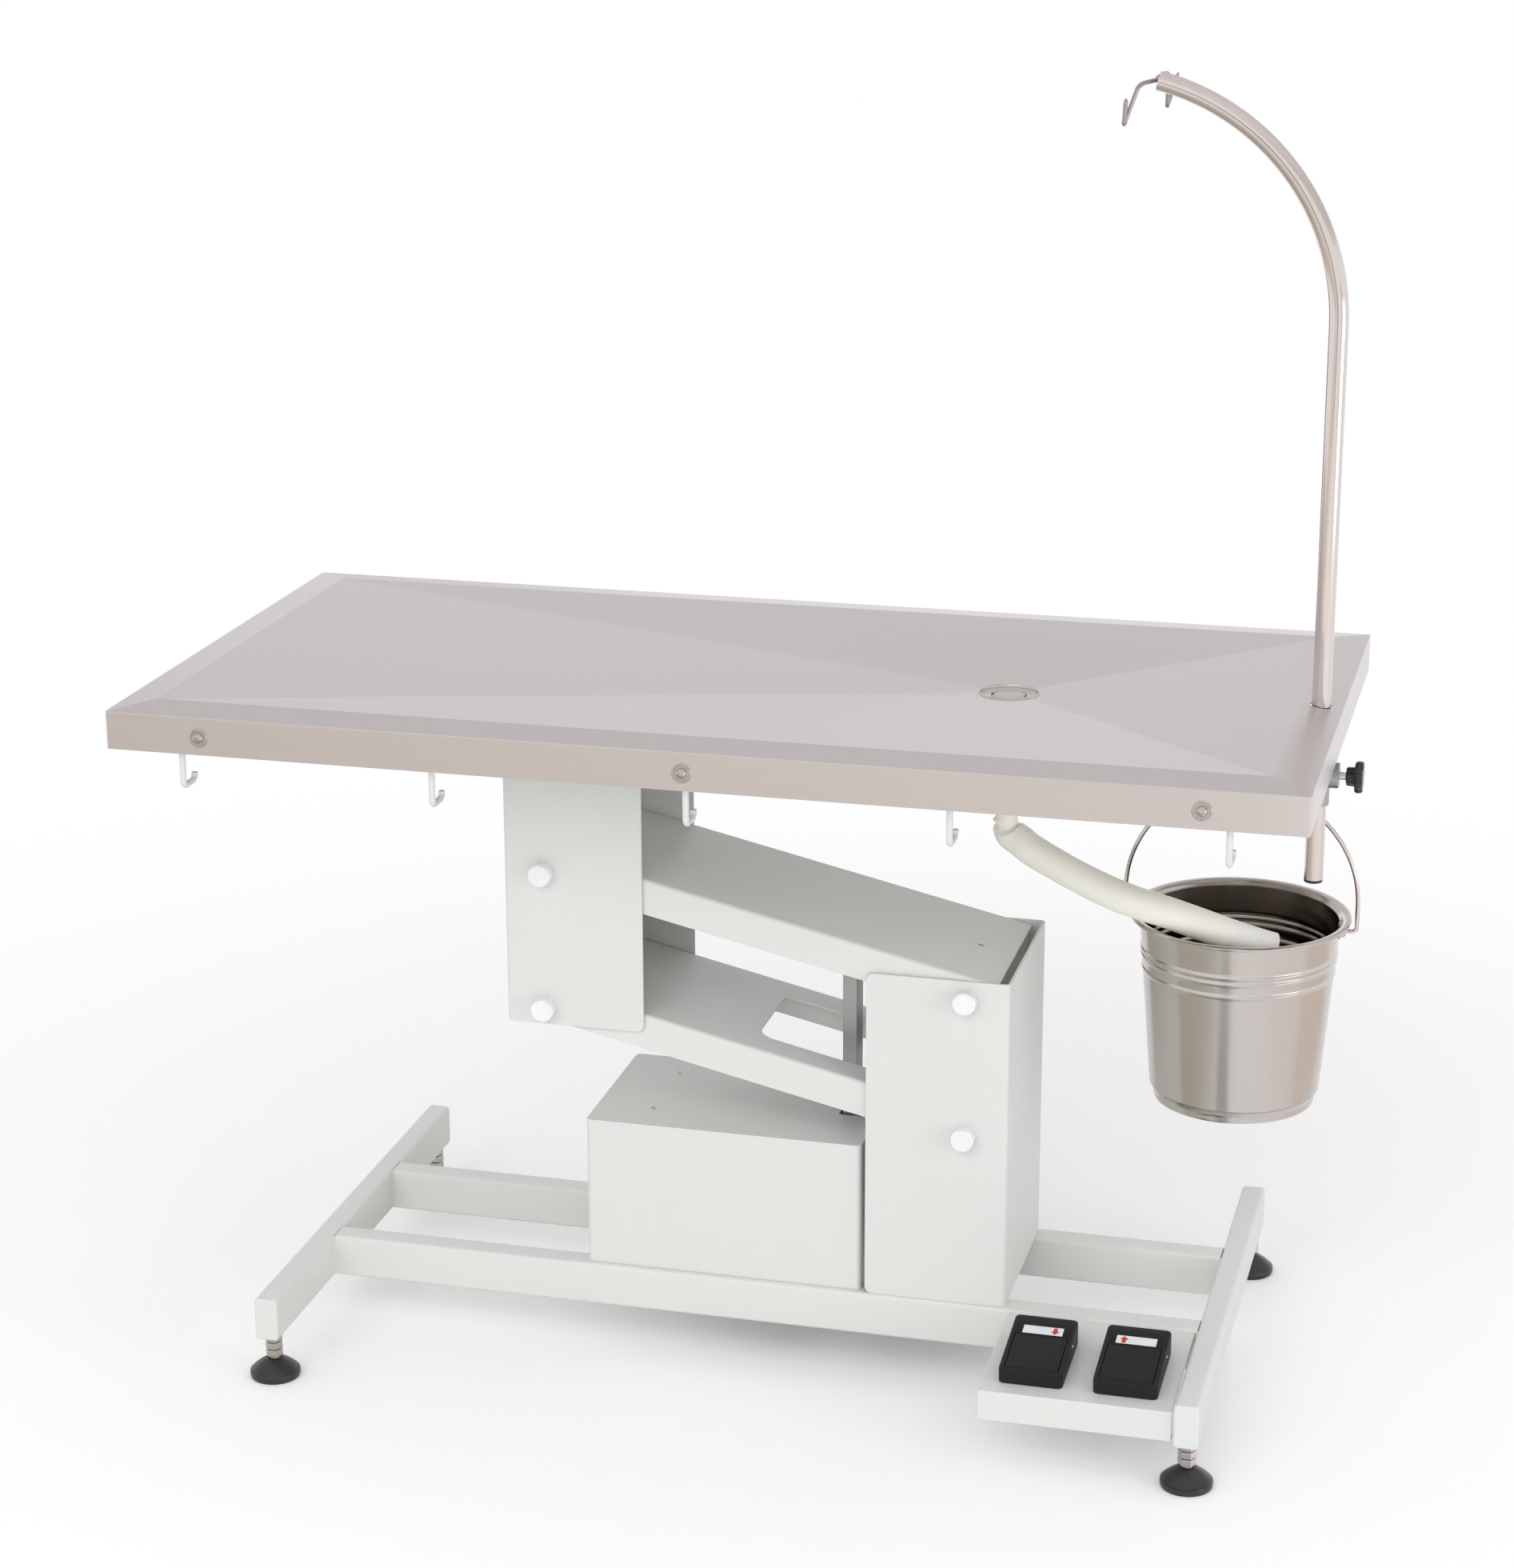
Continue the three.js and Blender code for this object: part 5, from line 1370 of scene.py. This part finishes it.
        wall = self.tube_wall
        return Shape().skin([section(x0, 0), section(x1, 0), section(x1, wall), section(x0, wall)], loop=True)

    def bucket_bar(self) -> None:
        """Builds the cross tube that holds the bucket's hook."""
        node = "frame_cross_bucket"
        low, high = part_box(node)
        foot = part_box("frame_cross_left")[0].z
        shape = self.tube(low.y, high.y, 0, foot, high.z)
        spot = Vector((middle(node).x, middle("bucket").y, foot))
        across = Matrix.Translation((spot.x, 0, 0)) @ Matrix.Rotation(QUARTER, 4, "Z")
        shape.points = [across @ point for point in shape.points]
        bend, drop = self.bucket_bend, self.bucket_drop
        path = [Vector((0, bend, 1 * MM)), Vector((0, bend, -drop / 2))]
        path += arc(Vector((0, 0, -drop)), Vector((0, bend, 0)), Vector((0, 0, -bend)), math.pi, 14)
        path.append(Vector((0, -bend - self.bucket_flare, bend - drop)))
        shape.sweep([spot + point for point in path], even(self.bucket_wire))
        self.add("bucket_bar", shape, COAT, node)


@dataclass
class Drain(Assembly):
    """Drain body, loose cover, elbow and hose."""

    body_mm: tuple[Pair, ...] = (
        (10.7, -43), (25, -28), (25, -6.7), (30.1, -6.3), (30.1, -2.2), (32.2, -2.2), (32.3, -1.9),
        (31.6, -1.55), (30.6, -1.45), (29.9, -1.7), (29.5, -2.4), (29.2, -4.3), (28.6, -4.75), (18.9, -4.8),
        (18.3, -5.1), (18.3, -7.4), (8.5, -7.4),
    )
    pipe_top: float = 27 * MM
    recess: float = 4.7 * MM
    notch_width: float = 0.015
    notch_depth: float = 2.4 * MM
    hose_radius: float = 16.5 * MM
    hose_wall: float = 2.2 * MM
    hose_open: int = 16
    hose_sides: int = 48
    fold: float = 0.9 * MM
    fold_at: float = 0.83
    fold_span: float = 0.07
    fold_waves: float = 150.0
    start_fold: float = 0.35 * MM
    start_span: float = 0.05
    start_waves: float = 260.0
    uneven: float = 0.25 * MM
    elbow_radius: float = 11.3 * MM
    elbow_overlap: float = 6 * MM
    elbow_knee: float = 13.5 * MM
    elbow_end: float = 4 * MM
    lump: float = 3.4 * MM
    lump_at: Pair = (0.36, 0.53)
    lump_span: float = 0.055
    mouth_at: float = 0.57
    mouth_steepness: float = 40.0
    hose_mm: tuple[Triple, ...] = (
        (14.5, -1.5, 576.5), (25, -4, 569.5), (38, -7, 563.3), (51.3, -10, 557.6), (72, -15, 549.3),
        (93.5, -20, 541.6), (112, -24.5, 535.9), (131, -28.7, 531), (153, -32.3, 526.5), (175, -34.8, 522),
        (193, -35.6, 517.2), (211, -34.6, 511.4), (229, -32, 505), (247, -28, 498.6), (264, -23, 492.5),
        (279, -17.5, 487),
    )

    def build(self) -> None:
        """Builds the drain from the top down."""
        self.body()
        self.cover()
        self.elbow()

    def route(self) -> Ring:
        """Middle of the hose, from the elbow to its free end."""
        start = Vector((middle("drain_body").x, 0, 0))
        return [start + Vector(point) * MM for point in self.hose_mm]

    def hose(self) -> None:
        """Builds the free hose with its bare cut end."""
        path = round_path(self.route(), 6)
        length = sum((b - a).length for a, b in zip(path, path[1:]))
        outer = tube_rings(path, self.outside, self.hose_sides)
        inner = tube_rings(path[-self.hose_open:], even(self.hose_radius - self.hose_wall), self.hose_sides)
        shape = Shape().skin([*outer, *reversed(inner)], ends=True)
        piece = self.add("hose", shape, HOSE, "drain_hose", sharp=50)
        LOG.info("hose: %.4f m long", length)

    def outside(self, share: float, angle: float) -> float:
        """Slightly uneven round hose, with a few folds on its upper side near the end.

        Args:
            share: Share of the hose's length.
            angle: Angle from its upper side.

        Returns:
            Its radius there.
        """
        upper = max(0.0, math.cos(angle + 0.5)) ** 3
        fold = self.fold * math.exp(-(((share - self.fold_at) / self.fold_span) ** 2)) * upper
        start = self.start_fold * math.exp(-((share / self.start_span) ** 2))
        wave = fold * math.sin(share * self.fold_waves) + start * math.sin(share * self.start_waves)
        return self.hose_radius + wave - self.uneven * math.sin(9 * share + 2 * angle) ** 2

    def body(self) -> None:
        """Builds the flange, the cup and the tail pipe."""
        low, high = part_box("drain_body")
        pipe = [(8.5, (low.z - high.z) / MM), (10.7, (low.z - high.z) / MM)]
        profile = [(r * MM, z * MM) for r, z in (*pipe, *self.body_mm)]
        shape = Shape().lathe(profile, at(middle("drain_body", high.z)), 72, loop=True)
        finish = DrainBody("drain_fitting", srgb(208, 204, 202), 0.24, split=high.z - self.pipe_top)
        self.add("drain_fitting", shape, finish, "drain_body", sharp=40)

    def cover(self) -> None:
        """Builds the loose cover disc with two finger notches."""
        low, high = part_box("drain_cover")
        sink = high.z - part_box("drain_body")[1].z + self.recess
        foot, top, r = low.z - sink, high.z - sink, (high.y - low.y) / 2
        rows = [(0.0, foot), (r, foot + 0.2 * MM), (r, top - 0.9 * MM), (r - 0.4 * MM, top - 0.3 * MM),
                (r - 1.5 * MM, top), (r / 2, top + 0.15 * MM), (0.0, top + 0.2 * MM)]

        def notch(row: int, angle: float) -> float:
            """Depth of the notches on the disc's left and right."""
            share = max(0.0, abs(math.cos(angle)) - 1 + self.notch_width) / self.notch_width
            return self.notch_depth * min(1.0, 3 * share) if rows[row][0] else 0.0

        shape = Shape().lathe(rows, at(middle("drain_cover", 0)), 96, cut=notch)
        self.add("drain_disc", shape, DISC, "drain_cover", sharp=40)

    def elbow(self) -> None:
        """Builds the lumpy elbow that joins the tail pipe to the hose."""
        start = middle("drain_body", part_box("drain_body")[0].z + self.elbow_overlap)
        first, second = self.route()[:2]
        heading = (second - first).normalized()
        knee = first - heading * self.elbow_knee
        fall = Vector((start.x, start.y, (start.z + knee.z) / 2 + 4 * MM))
        path = round_path([start, fall, knee, first + heading * self.elbow_end], 14)
        shape = Shape().sweep(path, self.bulge, self.hose_sides)
        self.add("elbow", shape, HOSE, "drain_elbow", sharp=60)

    def bulge(self, share: float, angle: float) -> float:
        """Slim pipe with two lumps on the outside of its bend, then the wide mouth of the hose.

        Args:
            share: Share of the elbow's length.
            angle: Angle from its upper side.

        Returns:
            Its radius there.
        """
        mouth = 1 / (1 + math.exp(self.mouth_steepness * (self.mouth_at - share)))
        outer = max(0.0, math.cos(angle)) ** 2
        lumps = sum(math.exp(-(((share - spot) / self.lump_span) ** 2)) for spot in self.lump_at) * outer
        return self.elbow_radius + (self.hose_radius - self.elbow_radius) * mouth + self.lump * lumps


@dataclass
class DripPole(Assembly):
    """Bent drip pole in its clamping sleeve."""

    radius: float = 9.5 * MM
    wall: float = 1.4 * MM
    straight: float = 561 * MM
    bend: float = 236 * MM
    angle: float = math.radians(76.5)
    sides: int = 40
    plug_gap: float = 0.3 * MM
    wire: float = 2.2 * MM
    wire_inset: float = 8 * MM
    tips_per_wire: float = 90.0
    hooks_mm: tuple[Triple, ...] = (
        (5.5, 39, 6.4), (-3, 36.4, -22.5), (-3.5, 34.3, -24), (-3.2, 32, -19), (-2.5, 26.5, 1),
        (-2.6, 25, 5.5), (-4.5, 21, 6.6), (-9.8, 11, 4.2), (-10.4, 0, 2.6), (-15, -9, 2), (-20.5, -20, 0.8),
        (-23, -25, -1.5), (-25, -27, -6), (-33, -31.5, -30), (-34.5, -33.5, -35.5), (-34.8, -36, -34.5),
        (-34.2, -37, -30), (-32.8, -40, -11),
    )
    lobes: int = 7
    lobe_depth: float = 3.2 * MM
    knob_mm: tuple[Triple, ...] = (
        (0, 0, 0), (8.6, 0, 0.2), (9.7, 0.8, 0.3), (10, 2, 0.3), (10.2, 7.2, 0.3), (11.2, 8.3, 0.4),
        (15.2, 8.6, 0.9), (16.4, 9.4, 1), (17, 10.8, 1), (17, 14.4, 1), (16.4, 15.8, 1), (15, 16.7, 0.9),
        (9, 17, 0.3), (0, 17, 0),
    )

    def build(self) -> None:
        """Builds the pole, its cross wire, its plug, its sleeve and its clamp."""
        foot = Vector((middle("pole_plug").x, 0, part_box("pole")[0].z))
        self.pole(foot)
        self.cross_wire(foot)
        self.plug(foot)
        self.soften(SLEEVE, 0.5 * MM, "pole_sleeve")
        self.soften(NICKEL, 0.3 * MM, "clamp_screw")
        self.knob()

    def pole(self, foot: Vector) -> None:
        """Builds the tube, up the straight and round the bend, with a closed mouth.

        Args:
            foot: Middle of its lower end.
        """
        path = [foot + Vector((0, 0, self.straight * i / 8)) for i in range(8)]
        centre = foot + Vector((-self.bend, 0, self.straight))
        path += arc(centre, Vector((self.bend, 0, 0)), Vector((0, 0, self.bend)), self.angle, 40)
        outer = tube_rings(path, even(self.radius), self.sides)
        inner = tube_rings(path, even(self.radius - self.wall), self.sides)
        shape = Shape().skin([*outer, *reversed(inner)], loop=True)
        mouth = len(outer) * self.sides
        shape.faces.append(list(range(mouth, mouth + self.sides)))
        self.add("pole_tube", shape, BRIGHT, "pole", sharp=50)

    def cross_wire(self, foot: Vector) -> None:
        """Builds the wire across the pole's mouth, with a hook at each end.

        Args:
            foot: Middle of the pole's lower end.
        """
        turn = self.angle - self.wire_inset / self.bend
        rise = self.straight + self.bend * math.sin(turn)
        spot = foot + Vector((-self.bend * (1 - math.cos(turn)), 0, rise))
        path = round_path([spot + Vector(point) * MM for point in self.hooks_mm], 8)
        self.add("drip_wire", Shape().sweep(path, self.tip), WIRE, "drip_hook", sharp=50)

    def tip(self, share: float, angle: float) -> float:
        """Radius of the wire, rounded off at its ends."""
        near = min(share, 1 - share) * self.tips_per_wire
        return self.wire * (1.0 if near >= 1 else math.sqrt(max(0.05, 1 - (1 - near) ** 2)))

    def plug(self, foot: Vector) -> None:
        """Builds the end plug.

        Args:
            foot: Middle of the pole's lower end.
        """
        low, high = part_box("pole_plug")
        r, bore = self.radius, self.radius - self.wall - self.plug_gap
        head, length = foot.z - low.z - self.plug_gap, high.z - low.z
        profile = [(0, 0), (r - 1.4 * MM, 0), (r - 0.3 * MM, 0.5 * MM), (r, 1.4 * MM), (r, head),
                   (bore, head), (bore, length), (0, length)]
        place = at(Vector((foot.x, foot.y, low.z)))
        self.add("plug", Shape().lathe(profile, place, self.sides), KNOB, "pole_plug")

    def knob(self) -> None:
        """Builds the star knob with its hub towards the sleeve."""
        low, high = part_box("clamp_knob")
        radius, length = max(row[0] for row in self.knob_mm), self.knob_mm[-1][1]
        wide, deep = (high.z - low.z) / 2 / radius, (high.x - low.x) / length
        place = at(Vector((low.x, *middle("clamp_knob").yz)), Side.RIGHT)

        def grip(row: int, angle: float) -> float:
            """Depth of the hollows between the lobes."""
            return self.knob_mm[row][2] * self.lobe_depth * (1 - math.cos(self.lobes * angle)) / 2

        shape = Shape().lathe([(r * wide, x * deep) for r, x, _ in self.knob_mm], place, 112, cut=grip)
        self.add("star_knob", shape, KNOB, "clamp_knob", sharp=60)


@dataclass
class WasteBucket(Assembly):
    """Stainless bucket on its bail."""

    rim_mm: float = 113.5
    top_mm: float = 103.0
    bottom_mm: float = 87.5
    base_mm: float = 83.0
    height_mm: float = 202.0
    wall_mm: float = 1.4
    bead_depths_mm: tuple[float, ...] = (38.0, 45.0, 59.0)
    bead_mm: float = 1.5
    bead_width_mm: float = 1.9
    foot_mm: float = 14.0
    inner_foot_mm: float = 13.0
    foot_roll_mm: tuple[Pair, ...] = (
        (-2, 0), (-0.4, 0.5), (0, 2), (0, 6), (0.6, 8.5), (2.6, 11.5), (4.2, 15),
    )
    rim_roll_mm: tuple[Pair, ...] = (
        (-8.6, -5.2), (-7.4, -4.4), (-3.4, -4.2), (-1, -4.3), (0, -2.8), (-0.1, -1.2), (-1.6, -0.2),
        (-3.4, 0), (-6, -0.5), (-8.4, -1.6), (-9.9, -3.6),
    )
    floor_mm: tuple[Pair, ...] = (
        (0.4, 14), (-3, 10), (-7, 9), (-83, 9), (-83, 7.6), (-8, 7.6), (-3.4, 6.6), (-2.2, 3),
    )
    ear_drop_mm: float = 12.0
    ear_root_mm: float = 1.2
    ear_mm: tuple[Pair, ...] = (
        (0, 0), (9, 0), (9, 1.6), (8.2, 2.4), (7.2, 2.9), (6.7, 3.6), (6.7, 5.2), (6.1, 6.6), (4.8, 7.4),
        (3.6, 7.6), (0, 7.6),
    )
    bail_half: float = 119 * MM
    bail_rise: float = 148 * MM
    bail_wire: float = 2.25 * MM
    bail_pin: float = 13 * MM
    bail_corner: float = 5 * MM

    def build(self) -> None:
        """Builds the bucket and the bail."""
        self.spot = middle("bucket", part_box("bucket")[1].z)
        self.shell()
        self.bail()

    def radius(self, depth: float) -> float:
        """Radius of the wall with its beads.

        Args:
            depth: Depth under the rim, in millimetres.

        Returns:
            The radius, in millimetres.
        """
        swell = sum(math.exp(-(((depth - bead) / self.bead_width_mm) ** 2)) for bead in self.bead_depths_mm)
        taper = (self.bottom_mm - self.top_mm) / (self.height_mm - self.foot_mm)
        return self.top_mm + taper * depth + self.bead_mm * swell

    def shell(self) -> None:
        """Turns the wall, the rim and the base, and adds the ears."""
        depths = [*range(6, 66), *range(70, 196, 9)]
        base, height = self.base_mm, self.height_mm
        profile = [(base + r, z - height) for r, z in self.foot_roll_mm]
        profile += [(self.radius(d), -d) for d in reversed(depths)]
        profile += [(self.rim_mm + r, z) for r, z in self.rim_roll_mm]
        profile += [(self.radius(d) - self.wall_mm, -d) for d in depths]
        profile += [(base + r, z - height) for r, z in self.floor_mm]
        shape = Shape().lathe([(r * MM, z * MM) for r, z in profile], at(self.spot), 128, loop=True)
        reach = self.radius(self.ear_drop_mm) - self.ear_root_mm
        for side in (-1, 1):
            turn = at(self.spot + Vector((side * reach, 0, -self.ear_drop_mm)) * MM, Side.RIGHT)
            turn = turn @ Matrix.Rotation(0 if side > 0 else math.pi, 4, "X")
            shape.lathe([(r * MM, z * MM) for r, z in self.ear_mm], turn, 40)
        half = self.wall_mm / 2
        finish = Spun(
            "spun_stainless", srgb(207, 202, 200), 0.17, "polished_stainless", srgb(205, 198, 192),
            middle=(self.spot.x, self.spot.y), rim=self.spot.z,
            foot=self.spot.z - (height - self.inner_foot_mm) * MM,
            foot_radius=(self.bottom_mm - half) * MM, rim_radius=(self.top_mm - half) * MM,
        )
        self.add("bucket_shell", shape, finish, "bucket", sharp=40)

    def bail(self) -> None:
        """Bends the bail, whose ends turn into the ears."""
        half, c = self.bail_half, self.bail_corner
        right = [Vector((half - self.bail_pin, 0, 0))]
        right += arc(Vector((half - c, 0, c)), Vector((0, 0, -c)), Vector((c, 0, 0)), QUARTER, 6)
        crown = Vector((0, 0, self.bail_rise - half))
        right += arc(crown, Vector((half, 0, 0)), Vector((0, 0, half)), QUARTER, 32)
        left = [Vector((-p.x, 0, p.z)) for p in reversed(right[:-1])]
        pivot = self.spot - Vector((0, 0, self.ear_drop_mm * MM))
        shape = Shape().sweep([pivot + point for point in right + left], even(self.bail_wire))
        self.add("bail_wire", shape, BRIGHT, "bail", sharp=50)


def plane(paint: Paint, name: str, half: float, deep: float) -> bpy.types.Object:
    """A level rectangle about the origin, as part of the stage.

    Args:
        paint: Its material's tree.
        name: Its name.
        half: Half its length.
        deep: Half its width.

    Returns:
        The rectangle.
    """
    mesh = bpy.data.meshes.new(name)
    corners = [(-half, -deep, 0), (half, -deep, 0), (half, deep, 0), (-half, deep, 0)]
    mesh.from_pydata(corners, [], [(0, 1, 2, 3)])
    mesh.materials.append(paint.material)
    made = put(name, mesh)
    return made


@dataclass(frozen=True)
class Lamp:
    """A soft rectangular lamp, which may light only matte surfaces or only gloss."""

    name: str
    place: Triple
    size: Pair
    power: float
    on_dull: bool = True
    on_gloss: bool = True
    aim: Triple = (0, 0, 0.55)

    def build(self) -> None:
        """Adds the lamp to the scene."""
        light = bpy.data.lights.new(self.name, "AREA")
        light.shape, light.energy = "RECTANGLE", self.power
        light.size, light.size_y = self.size
        made = put(self.name, light)
        made.location = self.place
        made.rotation_euler = (Vector(self.aim) - Vector(self.place)).to_track_quat("-Z", "Y").to_euler()
        made.visible_diffuse, made.visible_glossy = self.on_dull, self.on_gloss


@dataclass(frozen=True)
class Card:
    """A soft-edged studio card, seen only as a reflection in gloss."""

    name: str
    place: Triple
    size: Pair
    left: Colour
    right: Colour
    turn: float = 0.0
    upright: bool = False

    def build(self) -> None:
        """Sets up the card, which runs from the left colour to the right one and fades out at all edges."""
        half, deep = self.size[0] / 2, self.size[1] / 2
        paint = Paint(self.name)
        x, y = paint.along("X"), paint.along("Y")
        fades = [1 - paint.ramp(value.maths("ABSOLUTE"), 0.55 * reach, reach)
                 for value, reach in ((x, half), (y, deep))]
        paint.close({
            "Base Color": paint.mix(paint.ramp(x, -half, half), self.left, self.right),
            "Roughness": 1.0,
            "Specular IOR Level": 0.0,
            "Alpha": fades[0] * fades[1],
        })
        made = plane(paint, self.name, half, deep)
        turn = Matrix.Rotation(math.radians(self.turn), 4, "Z")
        tilt = Matrix.Rotation(QUARTER if self.upright else 0.0, 4, "X")
        made.matrix_world = Matrix.Translation(self.place) @ turn @ tilt
        made.visible_camera = made.visible_diffuse = made.visible_shadow = made.visible_transmission = False


@dataclass
class Studio:
    """Camera, pale floor, white surroundings and soft lamps."""

    lens: float = 80.48
    sensor: float = 36.0
    shift: Pair = (0.03097, 0.0069)
    eye: Triple = (0.8625, -3.3955, 1.7038)
    right: Triple = (0.96471, 0.26323, -0.00769)
    up: Triple = (-0.07164, 0.29043, 0.95421)
    back: Triple = (0.25341, -0.91998, 0.29904)
    ambient: float = 0.8
    floor_size: float = 8.0
    floor_fade: Pair = (0.9, 2.2)
    floor_lift: float = 0.08

    def camera(self) -> None:
        """Sets the camera where the photograph was taken."""
        data = bpy.data.cameras.new("camera")
        data.lens, data.sensor_width = self.lens, self.sensor
        data.shift_x, data.shift_y = self.shift
        made = put("camera", data)
        turn = Matrix((self.right, self.up, self.back)).transposed()
        made.matrix_world = Matrix.Translation(self.eye) @ turn.to_4x4()
        bpy.context.scene.camera = made

    def build(self) -> None:
        """Adds the world, the floor, the lamps and the cards."""
        self.world()
        self.floor()
        front, side = (-0.5, -4.6, 3.0), (3.8, -1.6, 1.1)
        beige, ash, olive = srgb(206, 192, 178), srgb(243, 239, 240), srgb(200, 198, 187)
        pink, dim, white = srgb(246, 241, 239), srgb(138, 132, 132), srgb(250, 246, 241)
        warm, mist = srgb(238, 226, 216), srgb(188, 186, 188)
        for piece in (
            Lamp("key", front, (4.6, 3.2), 84.0, on_gloss=False),
            Lamp("glint", front, (4.6, 0.5), 24.0, on_dull=False),
            Lamp("fill", side, (2.2, 1.6), 28.0, on_gloss=False),
            Lamp("side_glint", (3.8, -1.6, 0.5), (2.2, 0.8), 9.0, on_dull=False),
            Lamp("low_back", (-0.8, 6.5, 1.8), (6.0, 1.0), 5.0),
            Card("ceiling", (0, 4.0, 3.4), (26, 26), ash, ash),
            Card("front_floor", (-0.7, -3.4, 0.004), (5.6, 6.0), beige, white),
            Card("left_floor", (-0.75, -0.6, 0.006), (2.6, 2.4), olive, olive),
            Card("streak", (0.40, -0.60, 0.008), (0.2, 1.0), mist, mist, -6),
            Card("right_floor", (1.9, -0.9, 0.006), (2.4, 4.4), pink, pink),
            Card("right_back", (1.5, 0.4, 0.008), (1.2, 1.0), warm, warm),
            Card("flag_front", (-0.05, -5.0, 0.45), (0.9, 1.6), dim, dim, 0.0, True),
            Card("flag_right", (4.3, -3.3, 0.45), (2.6, 1.6), ash, dim, 50, True),
            Card("flag_back", (-2.7, 3.8, 0.2), (3.4, 1.4), dim, dim, 35, True),
        ):
            piece.build()
        bpy.context.scene.view_settings.view_transform = "Standard"

    def world(self) -> None:
        """White where it is seen or mirrored, and a plain soft level elsewhere."""
        world = bpy.data.worlds.new("studio")
        bpy.context.scene.world = world
        world.use_nodes = True
        world.node_tree.nodes.clear()
        tree = Tree(world.node_tree)
        path = tree.node("ShaderNodeLightPath")
        camera, gloss, glass = (
            Socket(tree, path.outputs[f"Is {ray} Ray"]) for ray in ("Camera", "Glossy", "Transmission")
        )
        seen = camera.maths("MAXIMUM", gloss).maths("MAXIMUM", glass)
        level = self.ambient + (1 - self.ambient) * seen
        sky = tree.out("ShaderNodeBackground", {"Color": (1.0, 1.0, 1.0, 1.0), "Strength": level})
        tree.node("ShaderNodeOutputWorld", {"Surface": sky})

    def floor(self) -> None:
        """Pale plain floor that keeps the object's shadow."""
        paint = Paint("floor")
        speck = paint.noise((40, 40, 40), 2.0)
        pale = srgb(252, 252, 252)
        reach = paint.out("ShaderNodeVectorMath", {0: paint.place}, "Value", operation="LENGTH")
        seen = paint.out("ShaderNodeLightPath", output="Is Camera Ray")
        paint.close({
            "Base Color": paint.mix(speck, shade(pale, 0.99), pale),
            "Roughness": 0.95,
            "Specular IOR Level": 0.0,
            "Emission Color": paint.mix(seen, (0.0, 0.0, 0.0, 1.0), (self.floor_lift,) * 3 + (1.0,)),
            "Emission Strength": 1.0,
            "Alpha": 1 - paint.ramp(reach, *self.floor_fade),
        })
        plane(paint, "floor", self.floor_size / 2, self.floor_size / 2)


def main() -> None:
    """Builds the scene in order."""
    logging.basicConfig(level=logging.INFO, format="%(name)s %(message)s")
    studio = Studio()
    studio.camera()
    drain = Drain()
    drain.hose()
    for assembly in (BaseFrame(), Lift(), Pedals(), TableTop(), drain, DripPole(), WasteBucket()):
        assembly.build()
    studio.build()


if __name__ == "__main__":
    main()
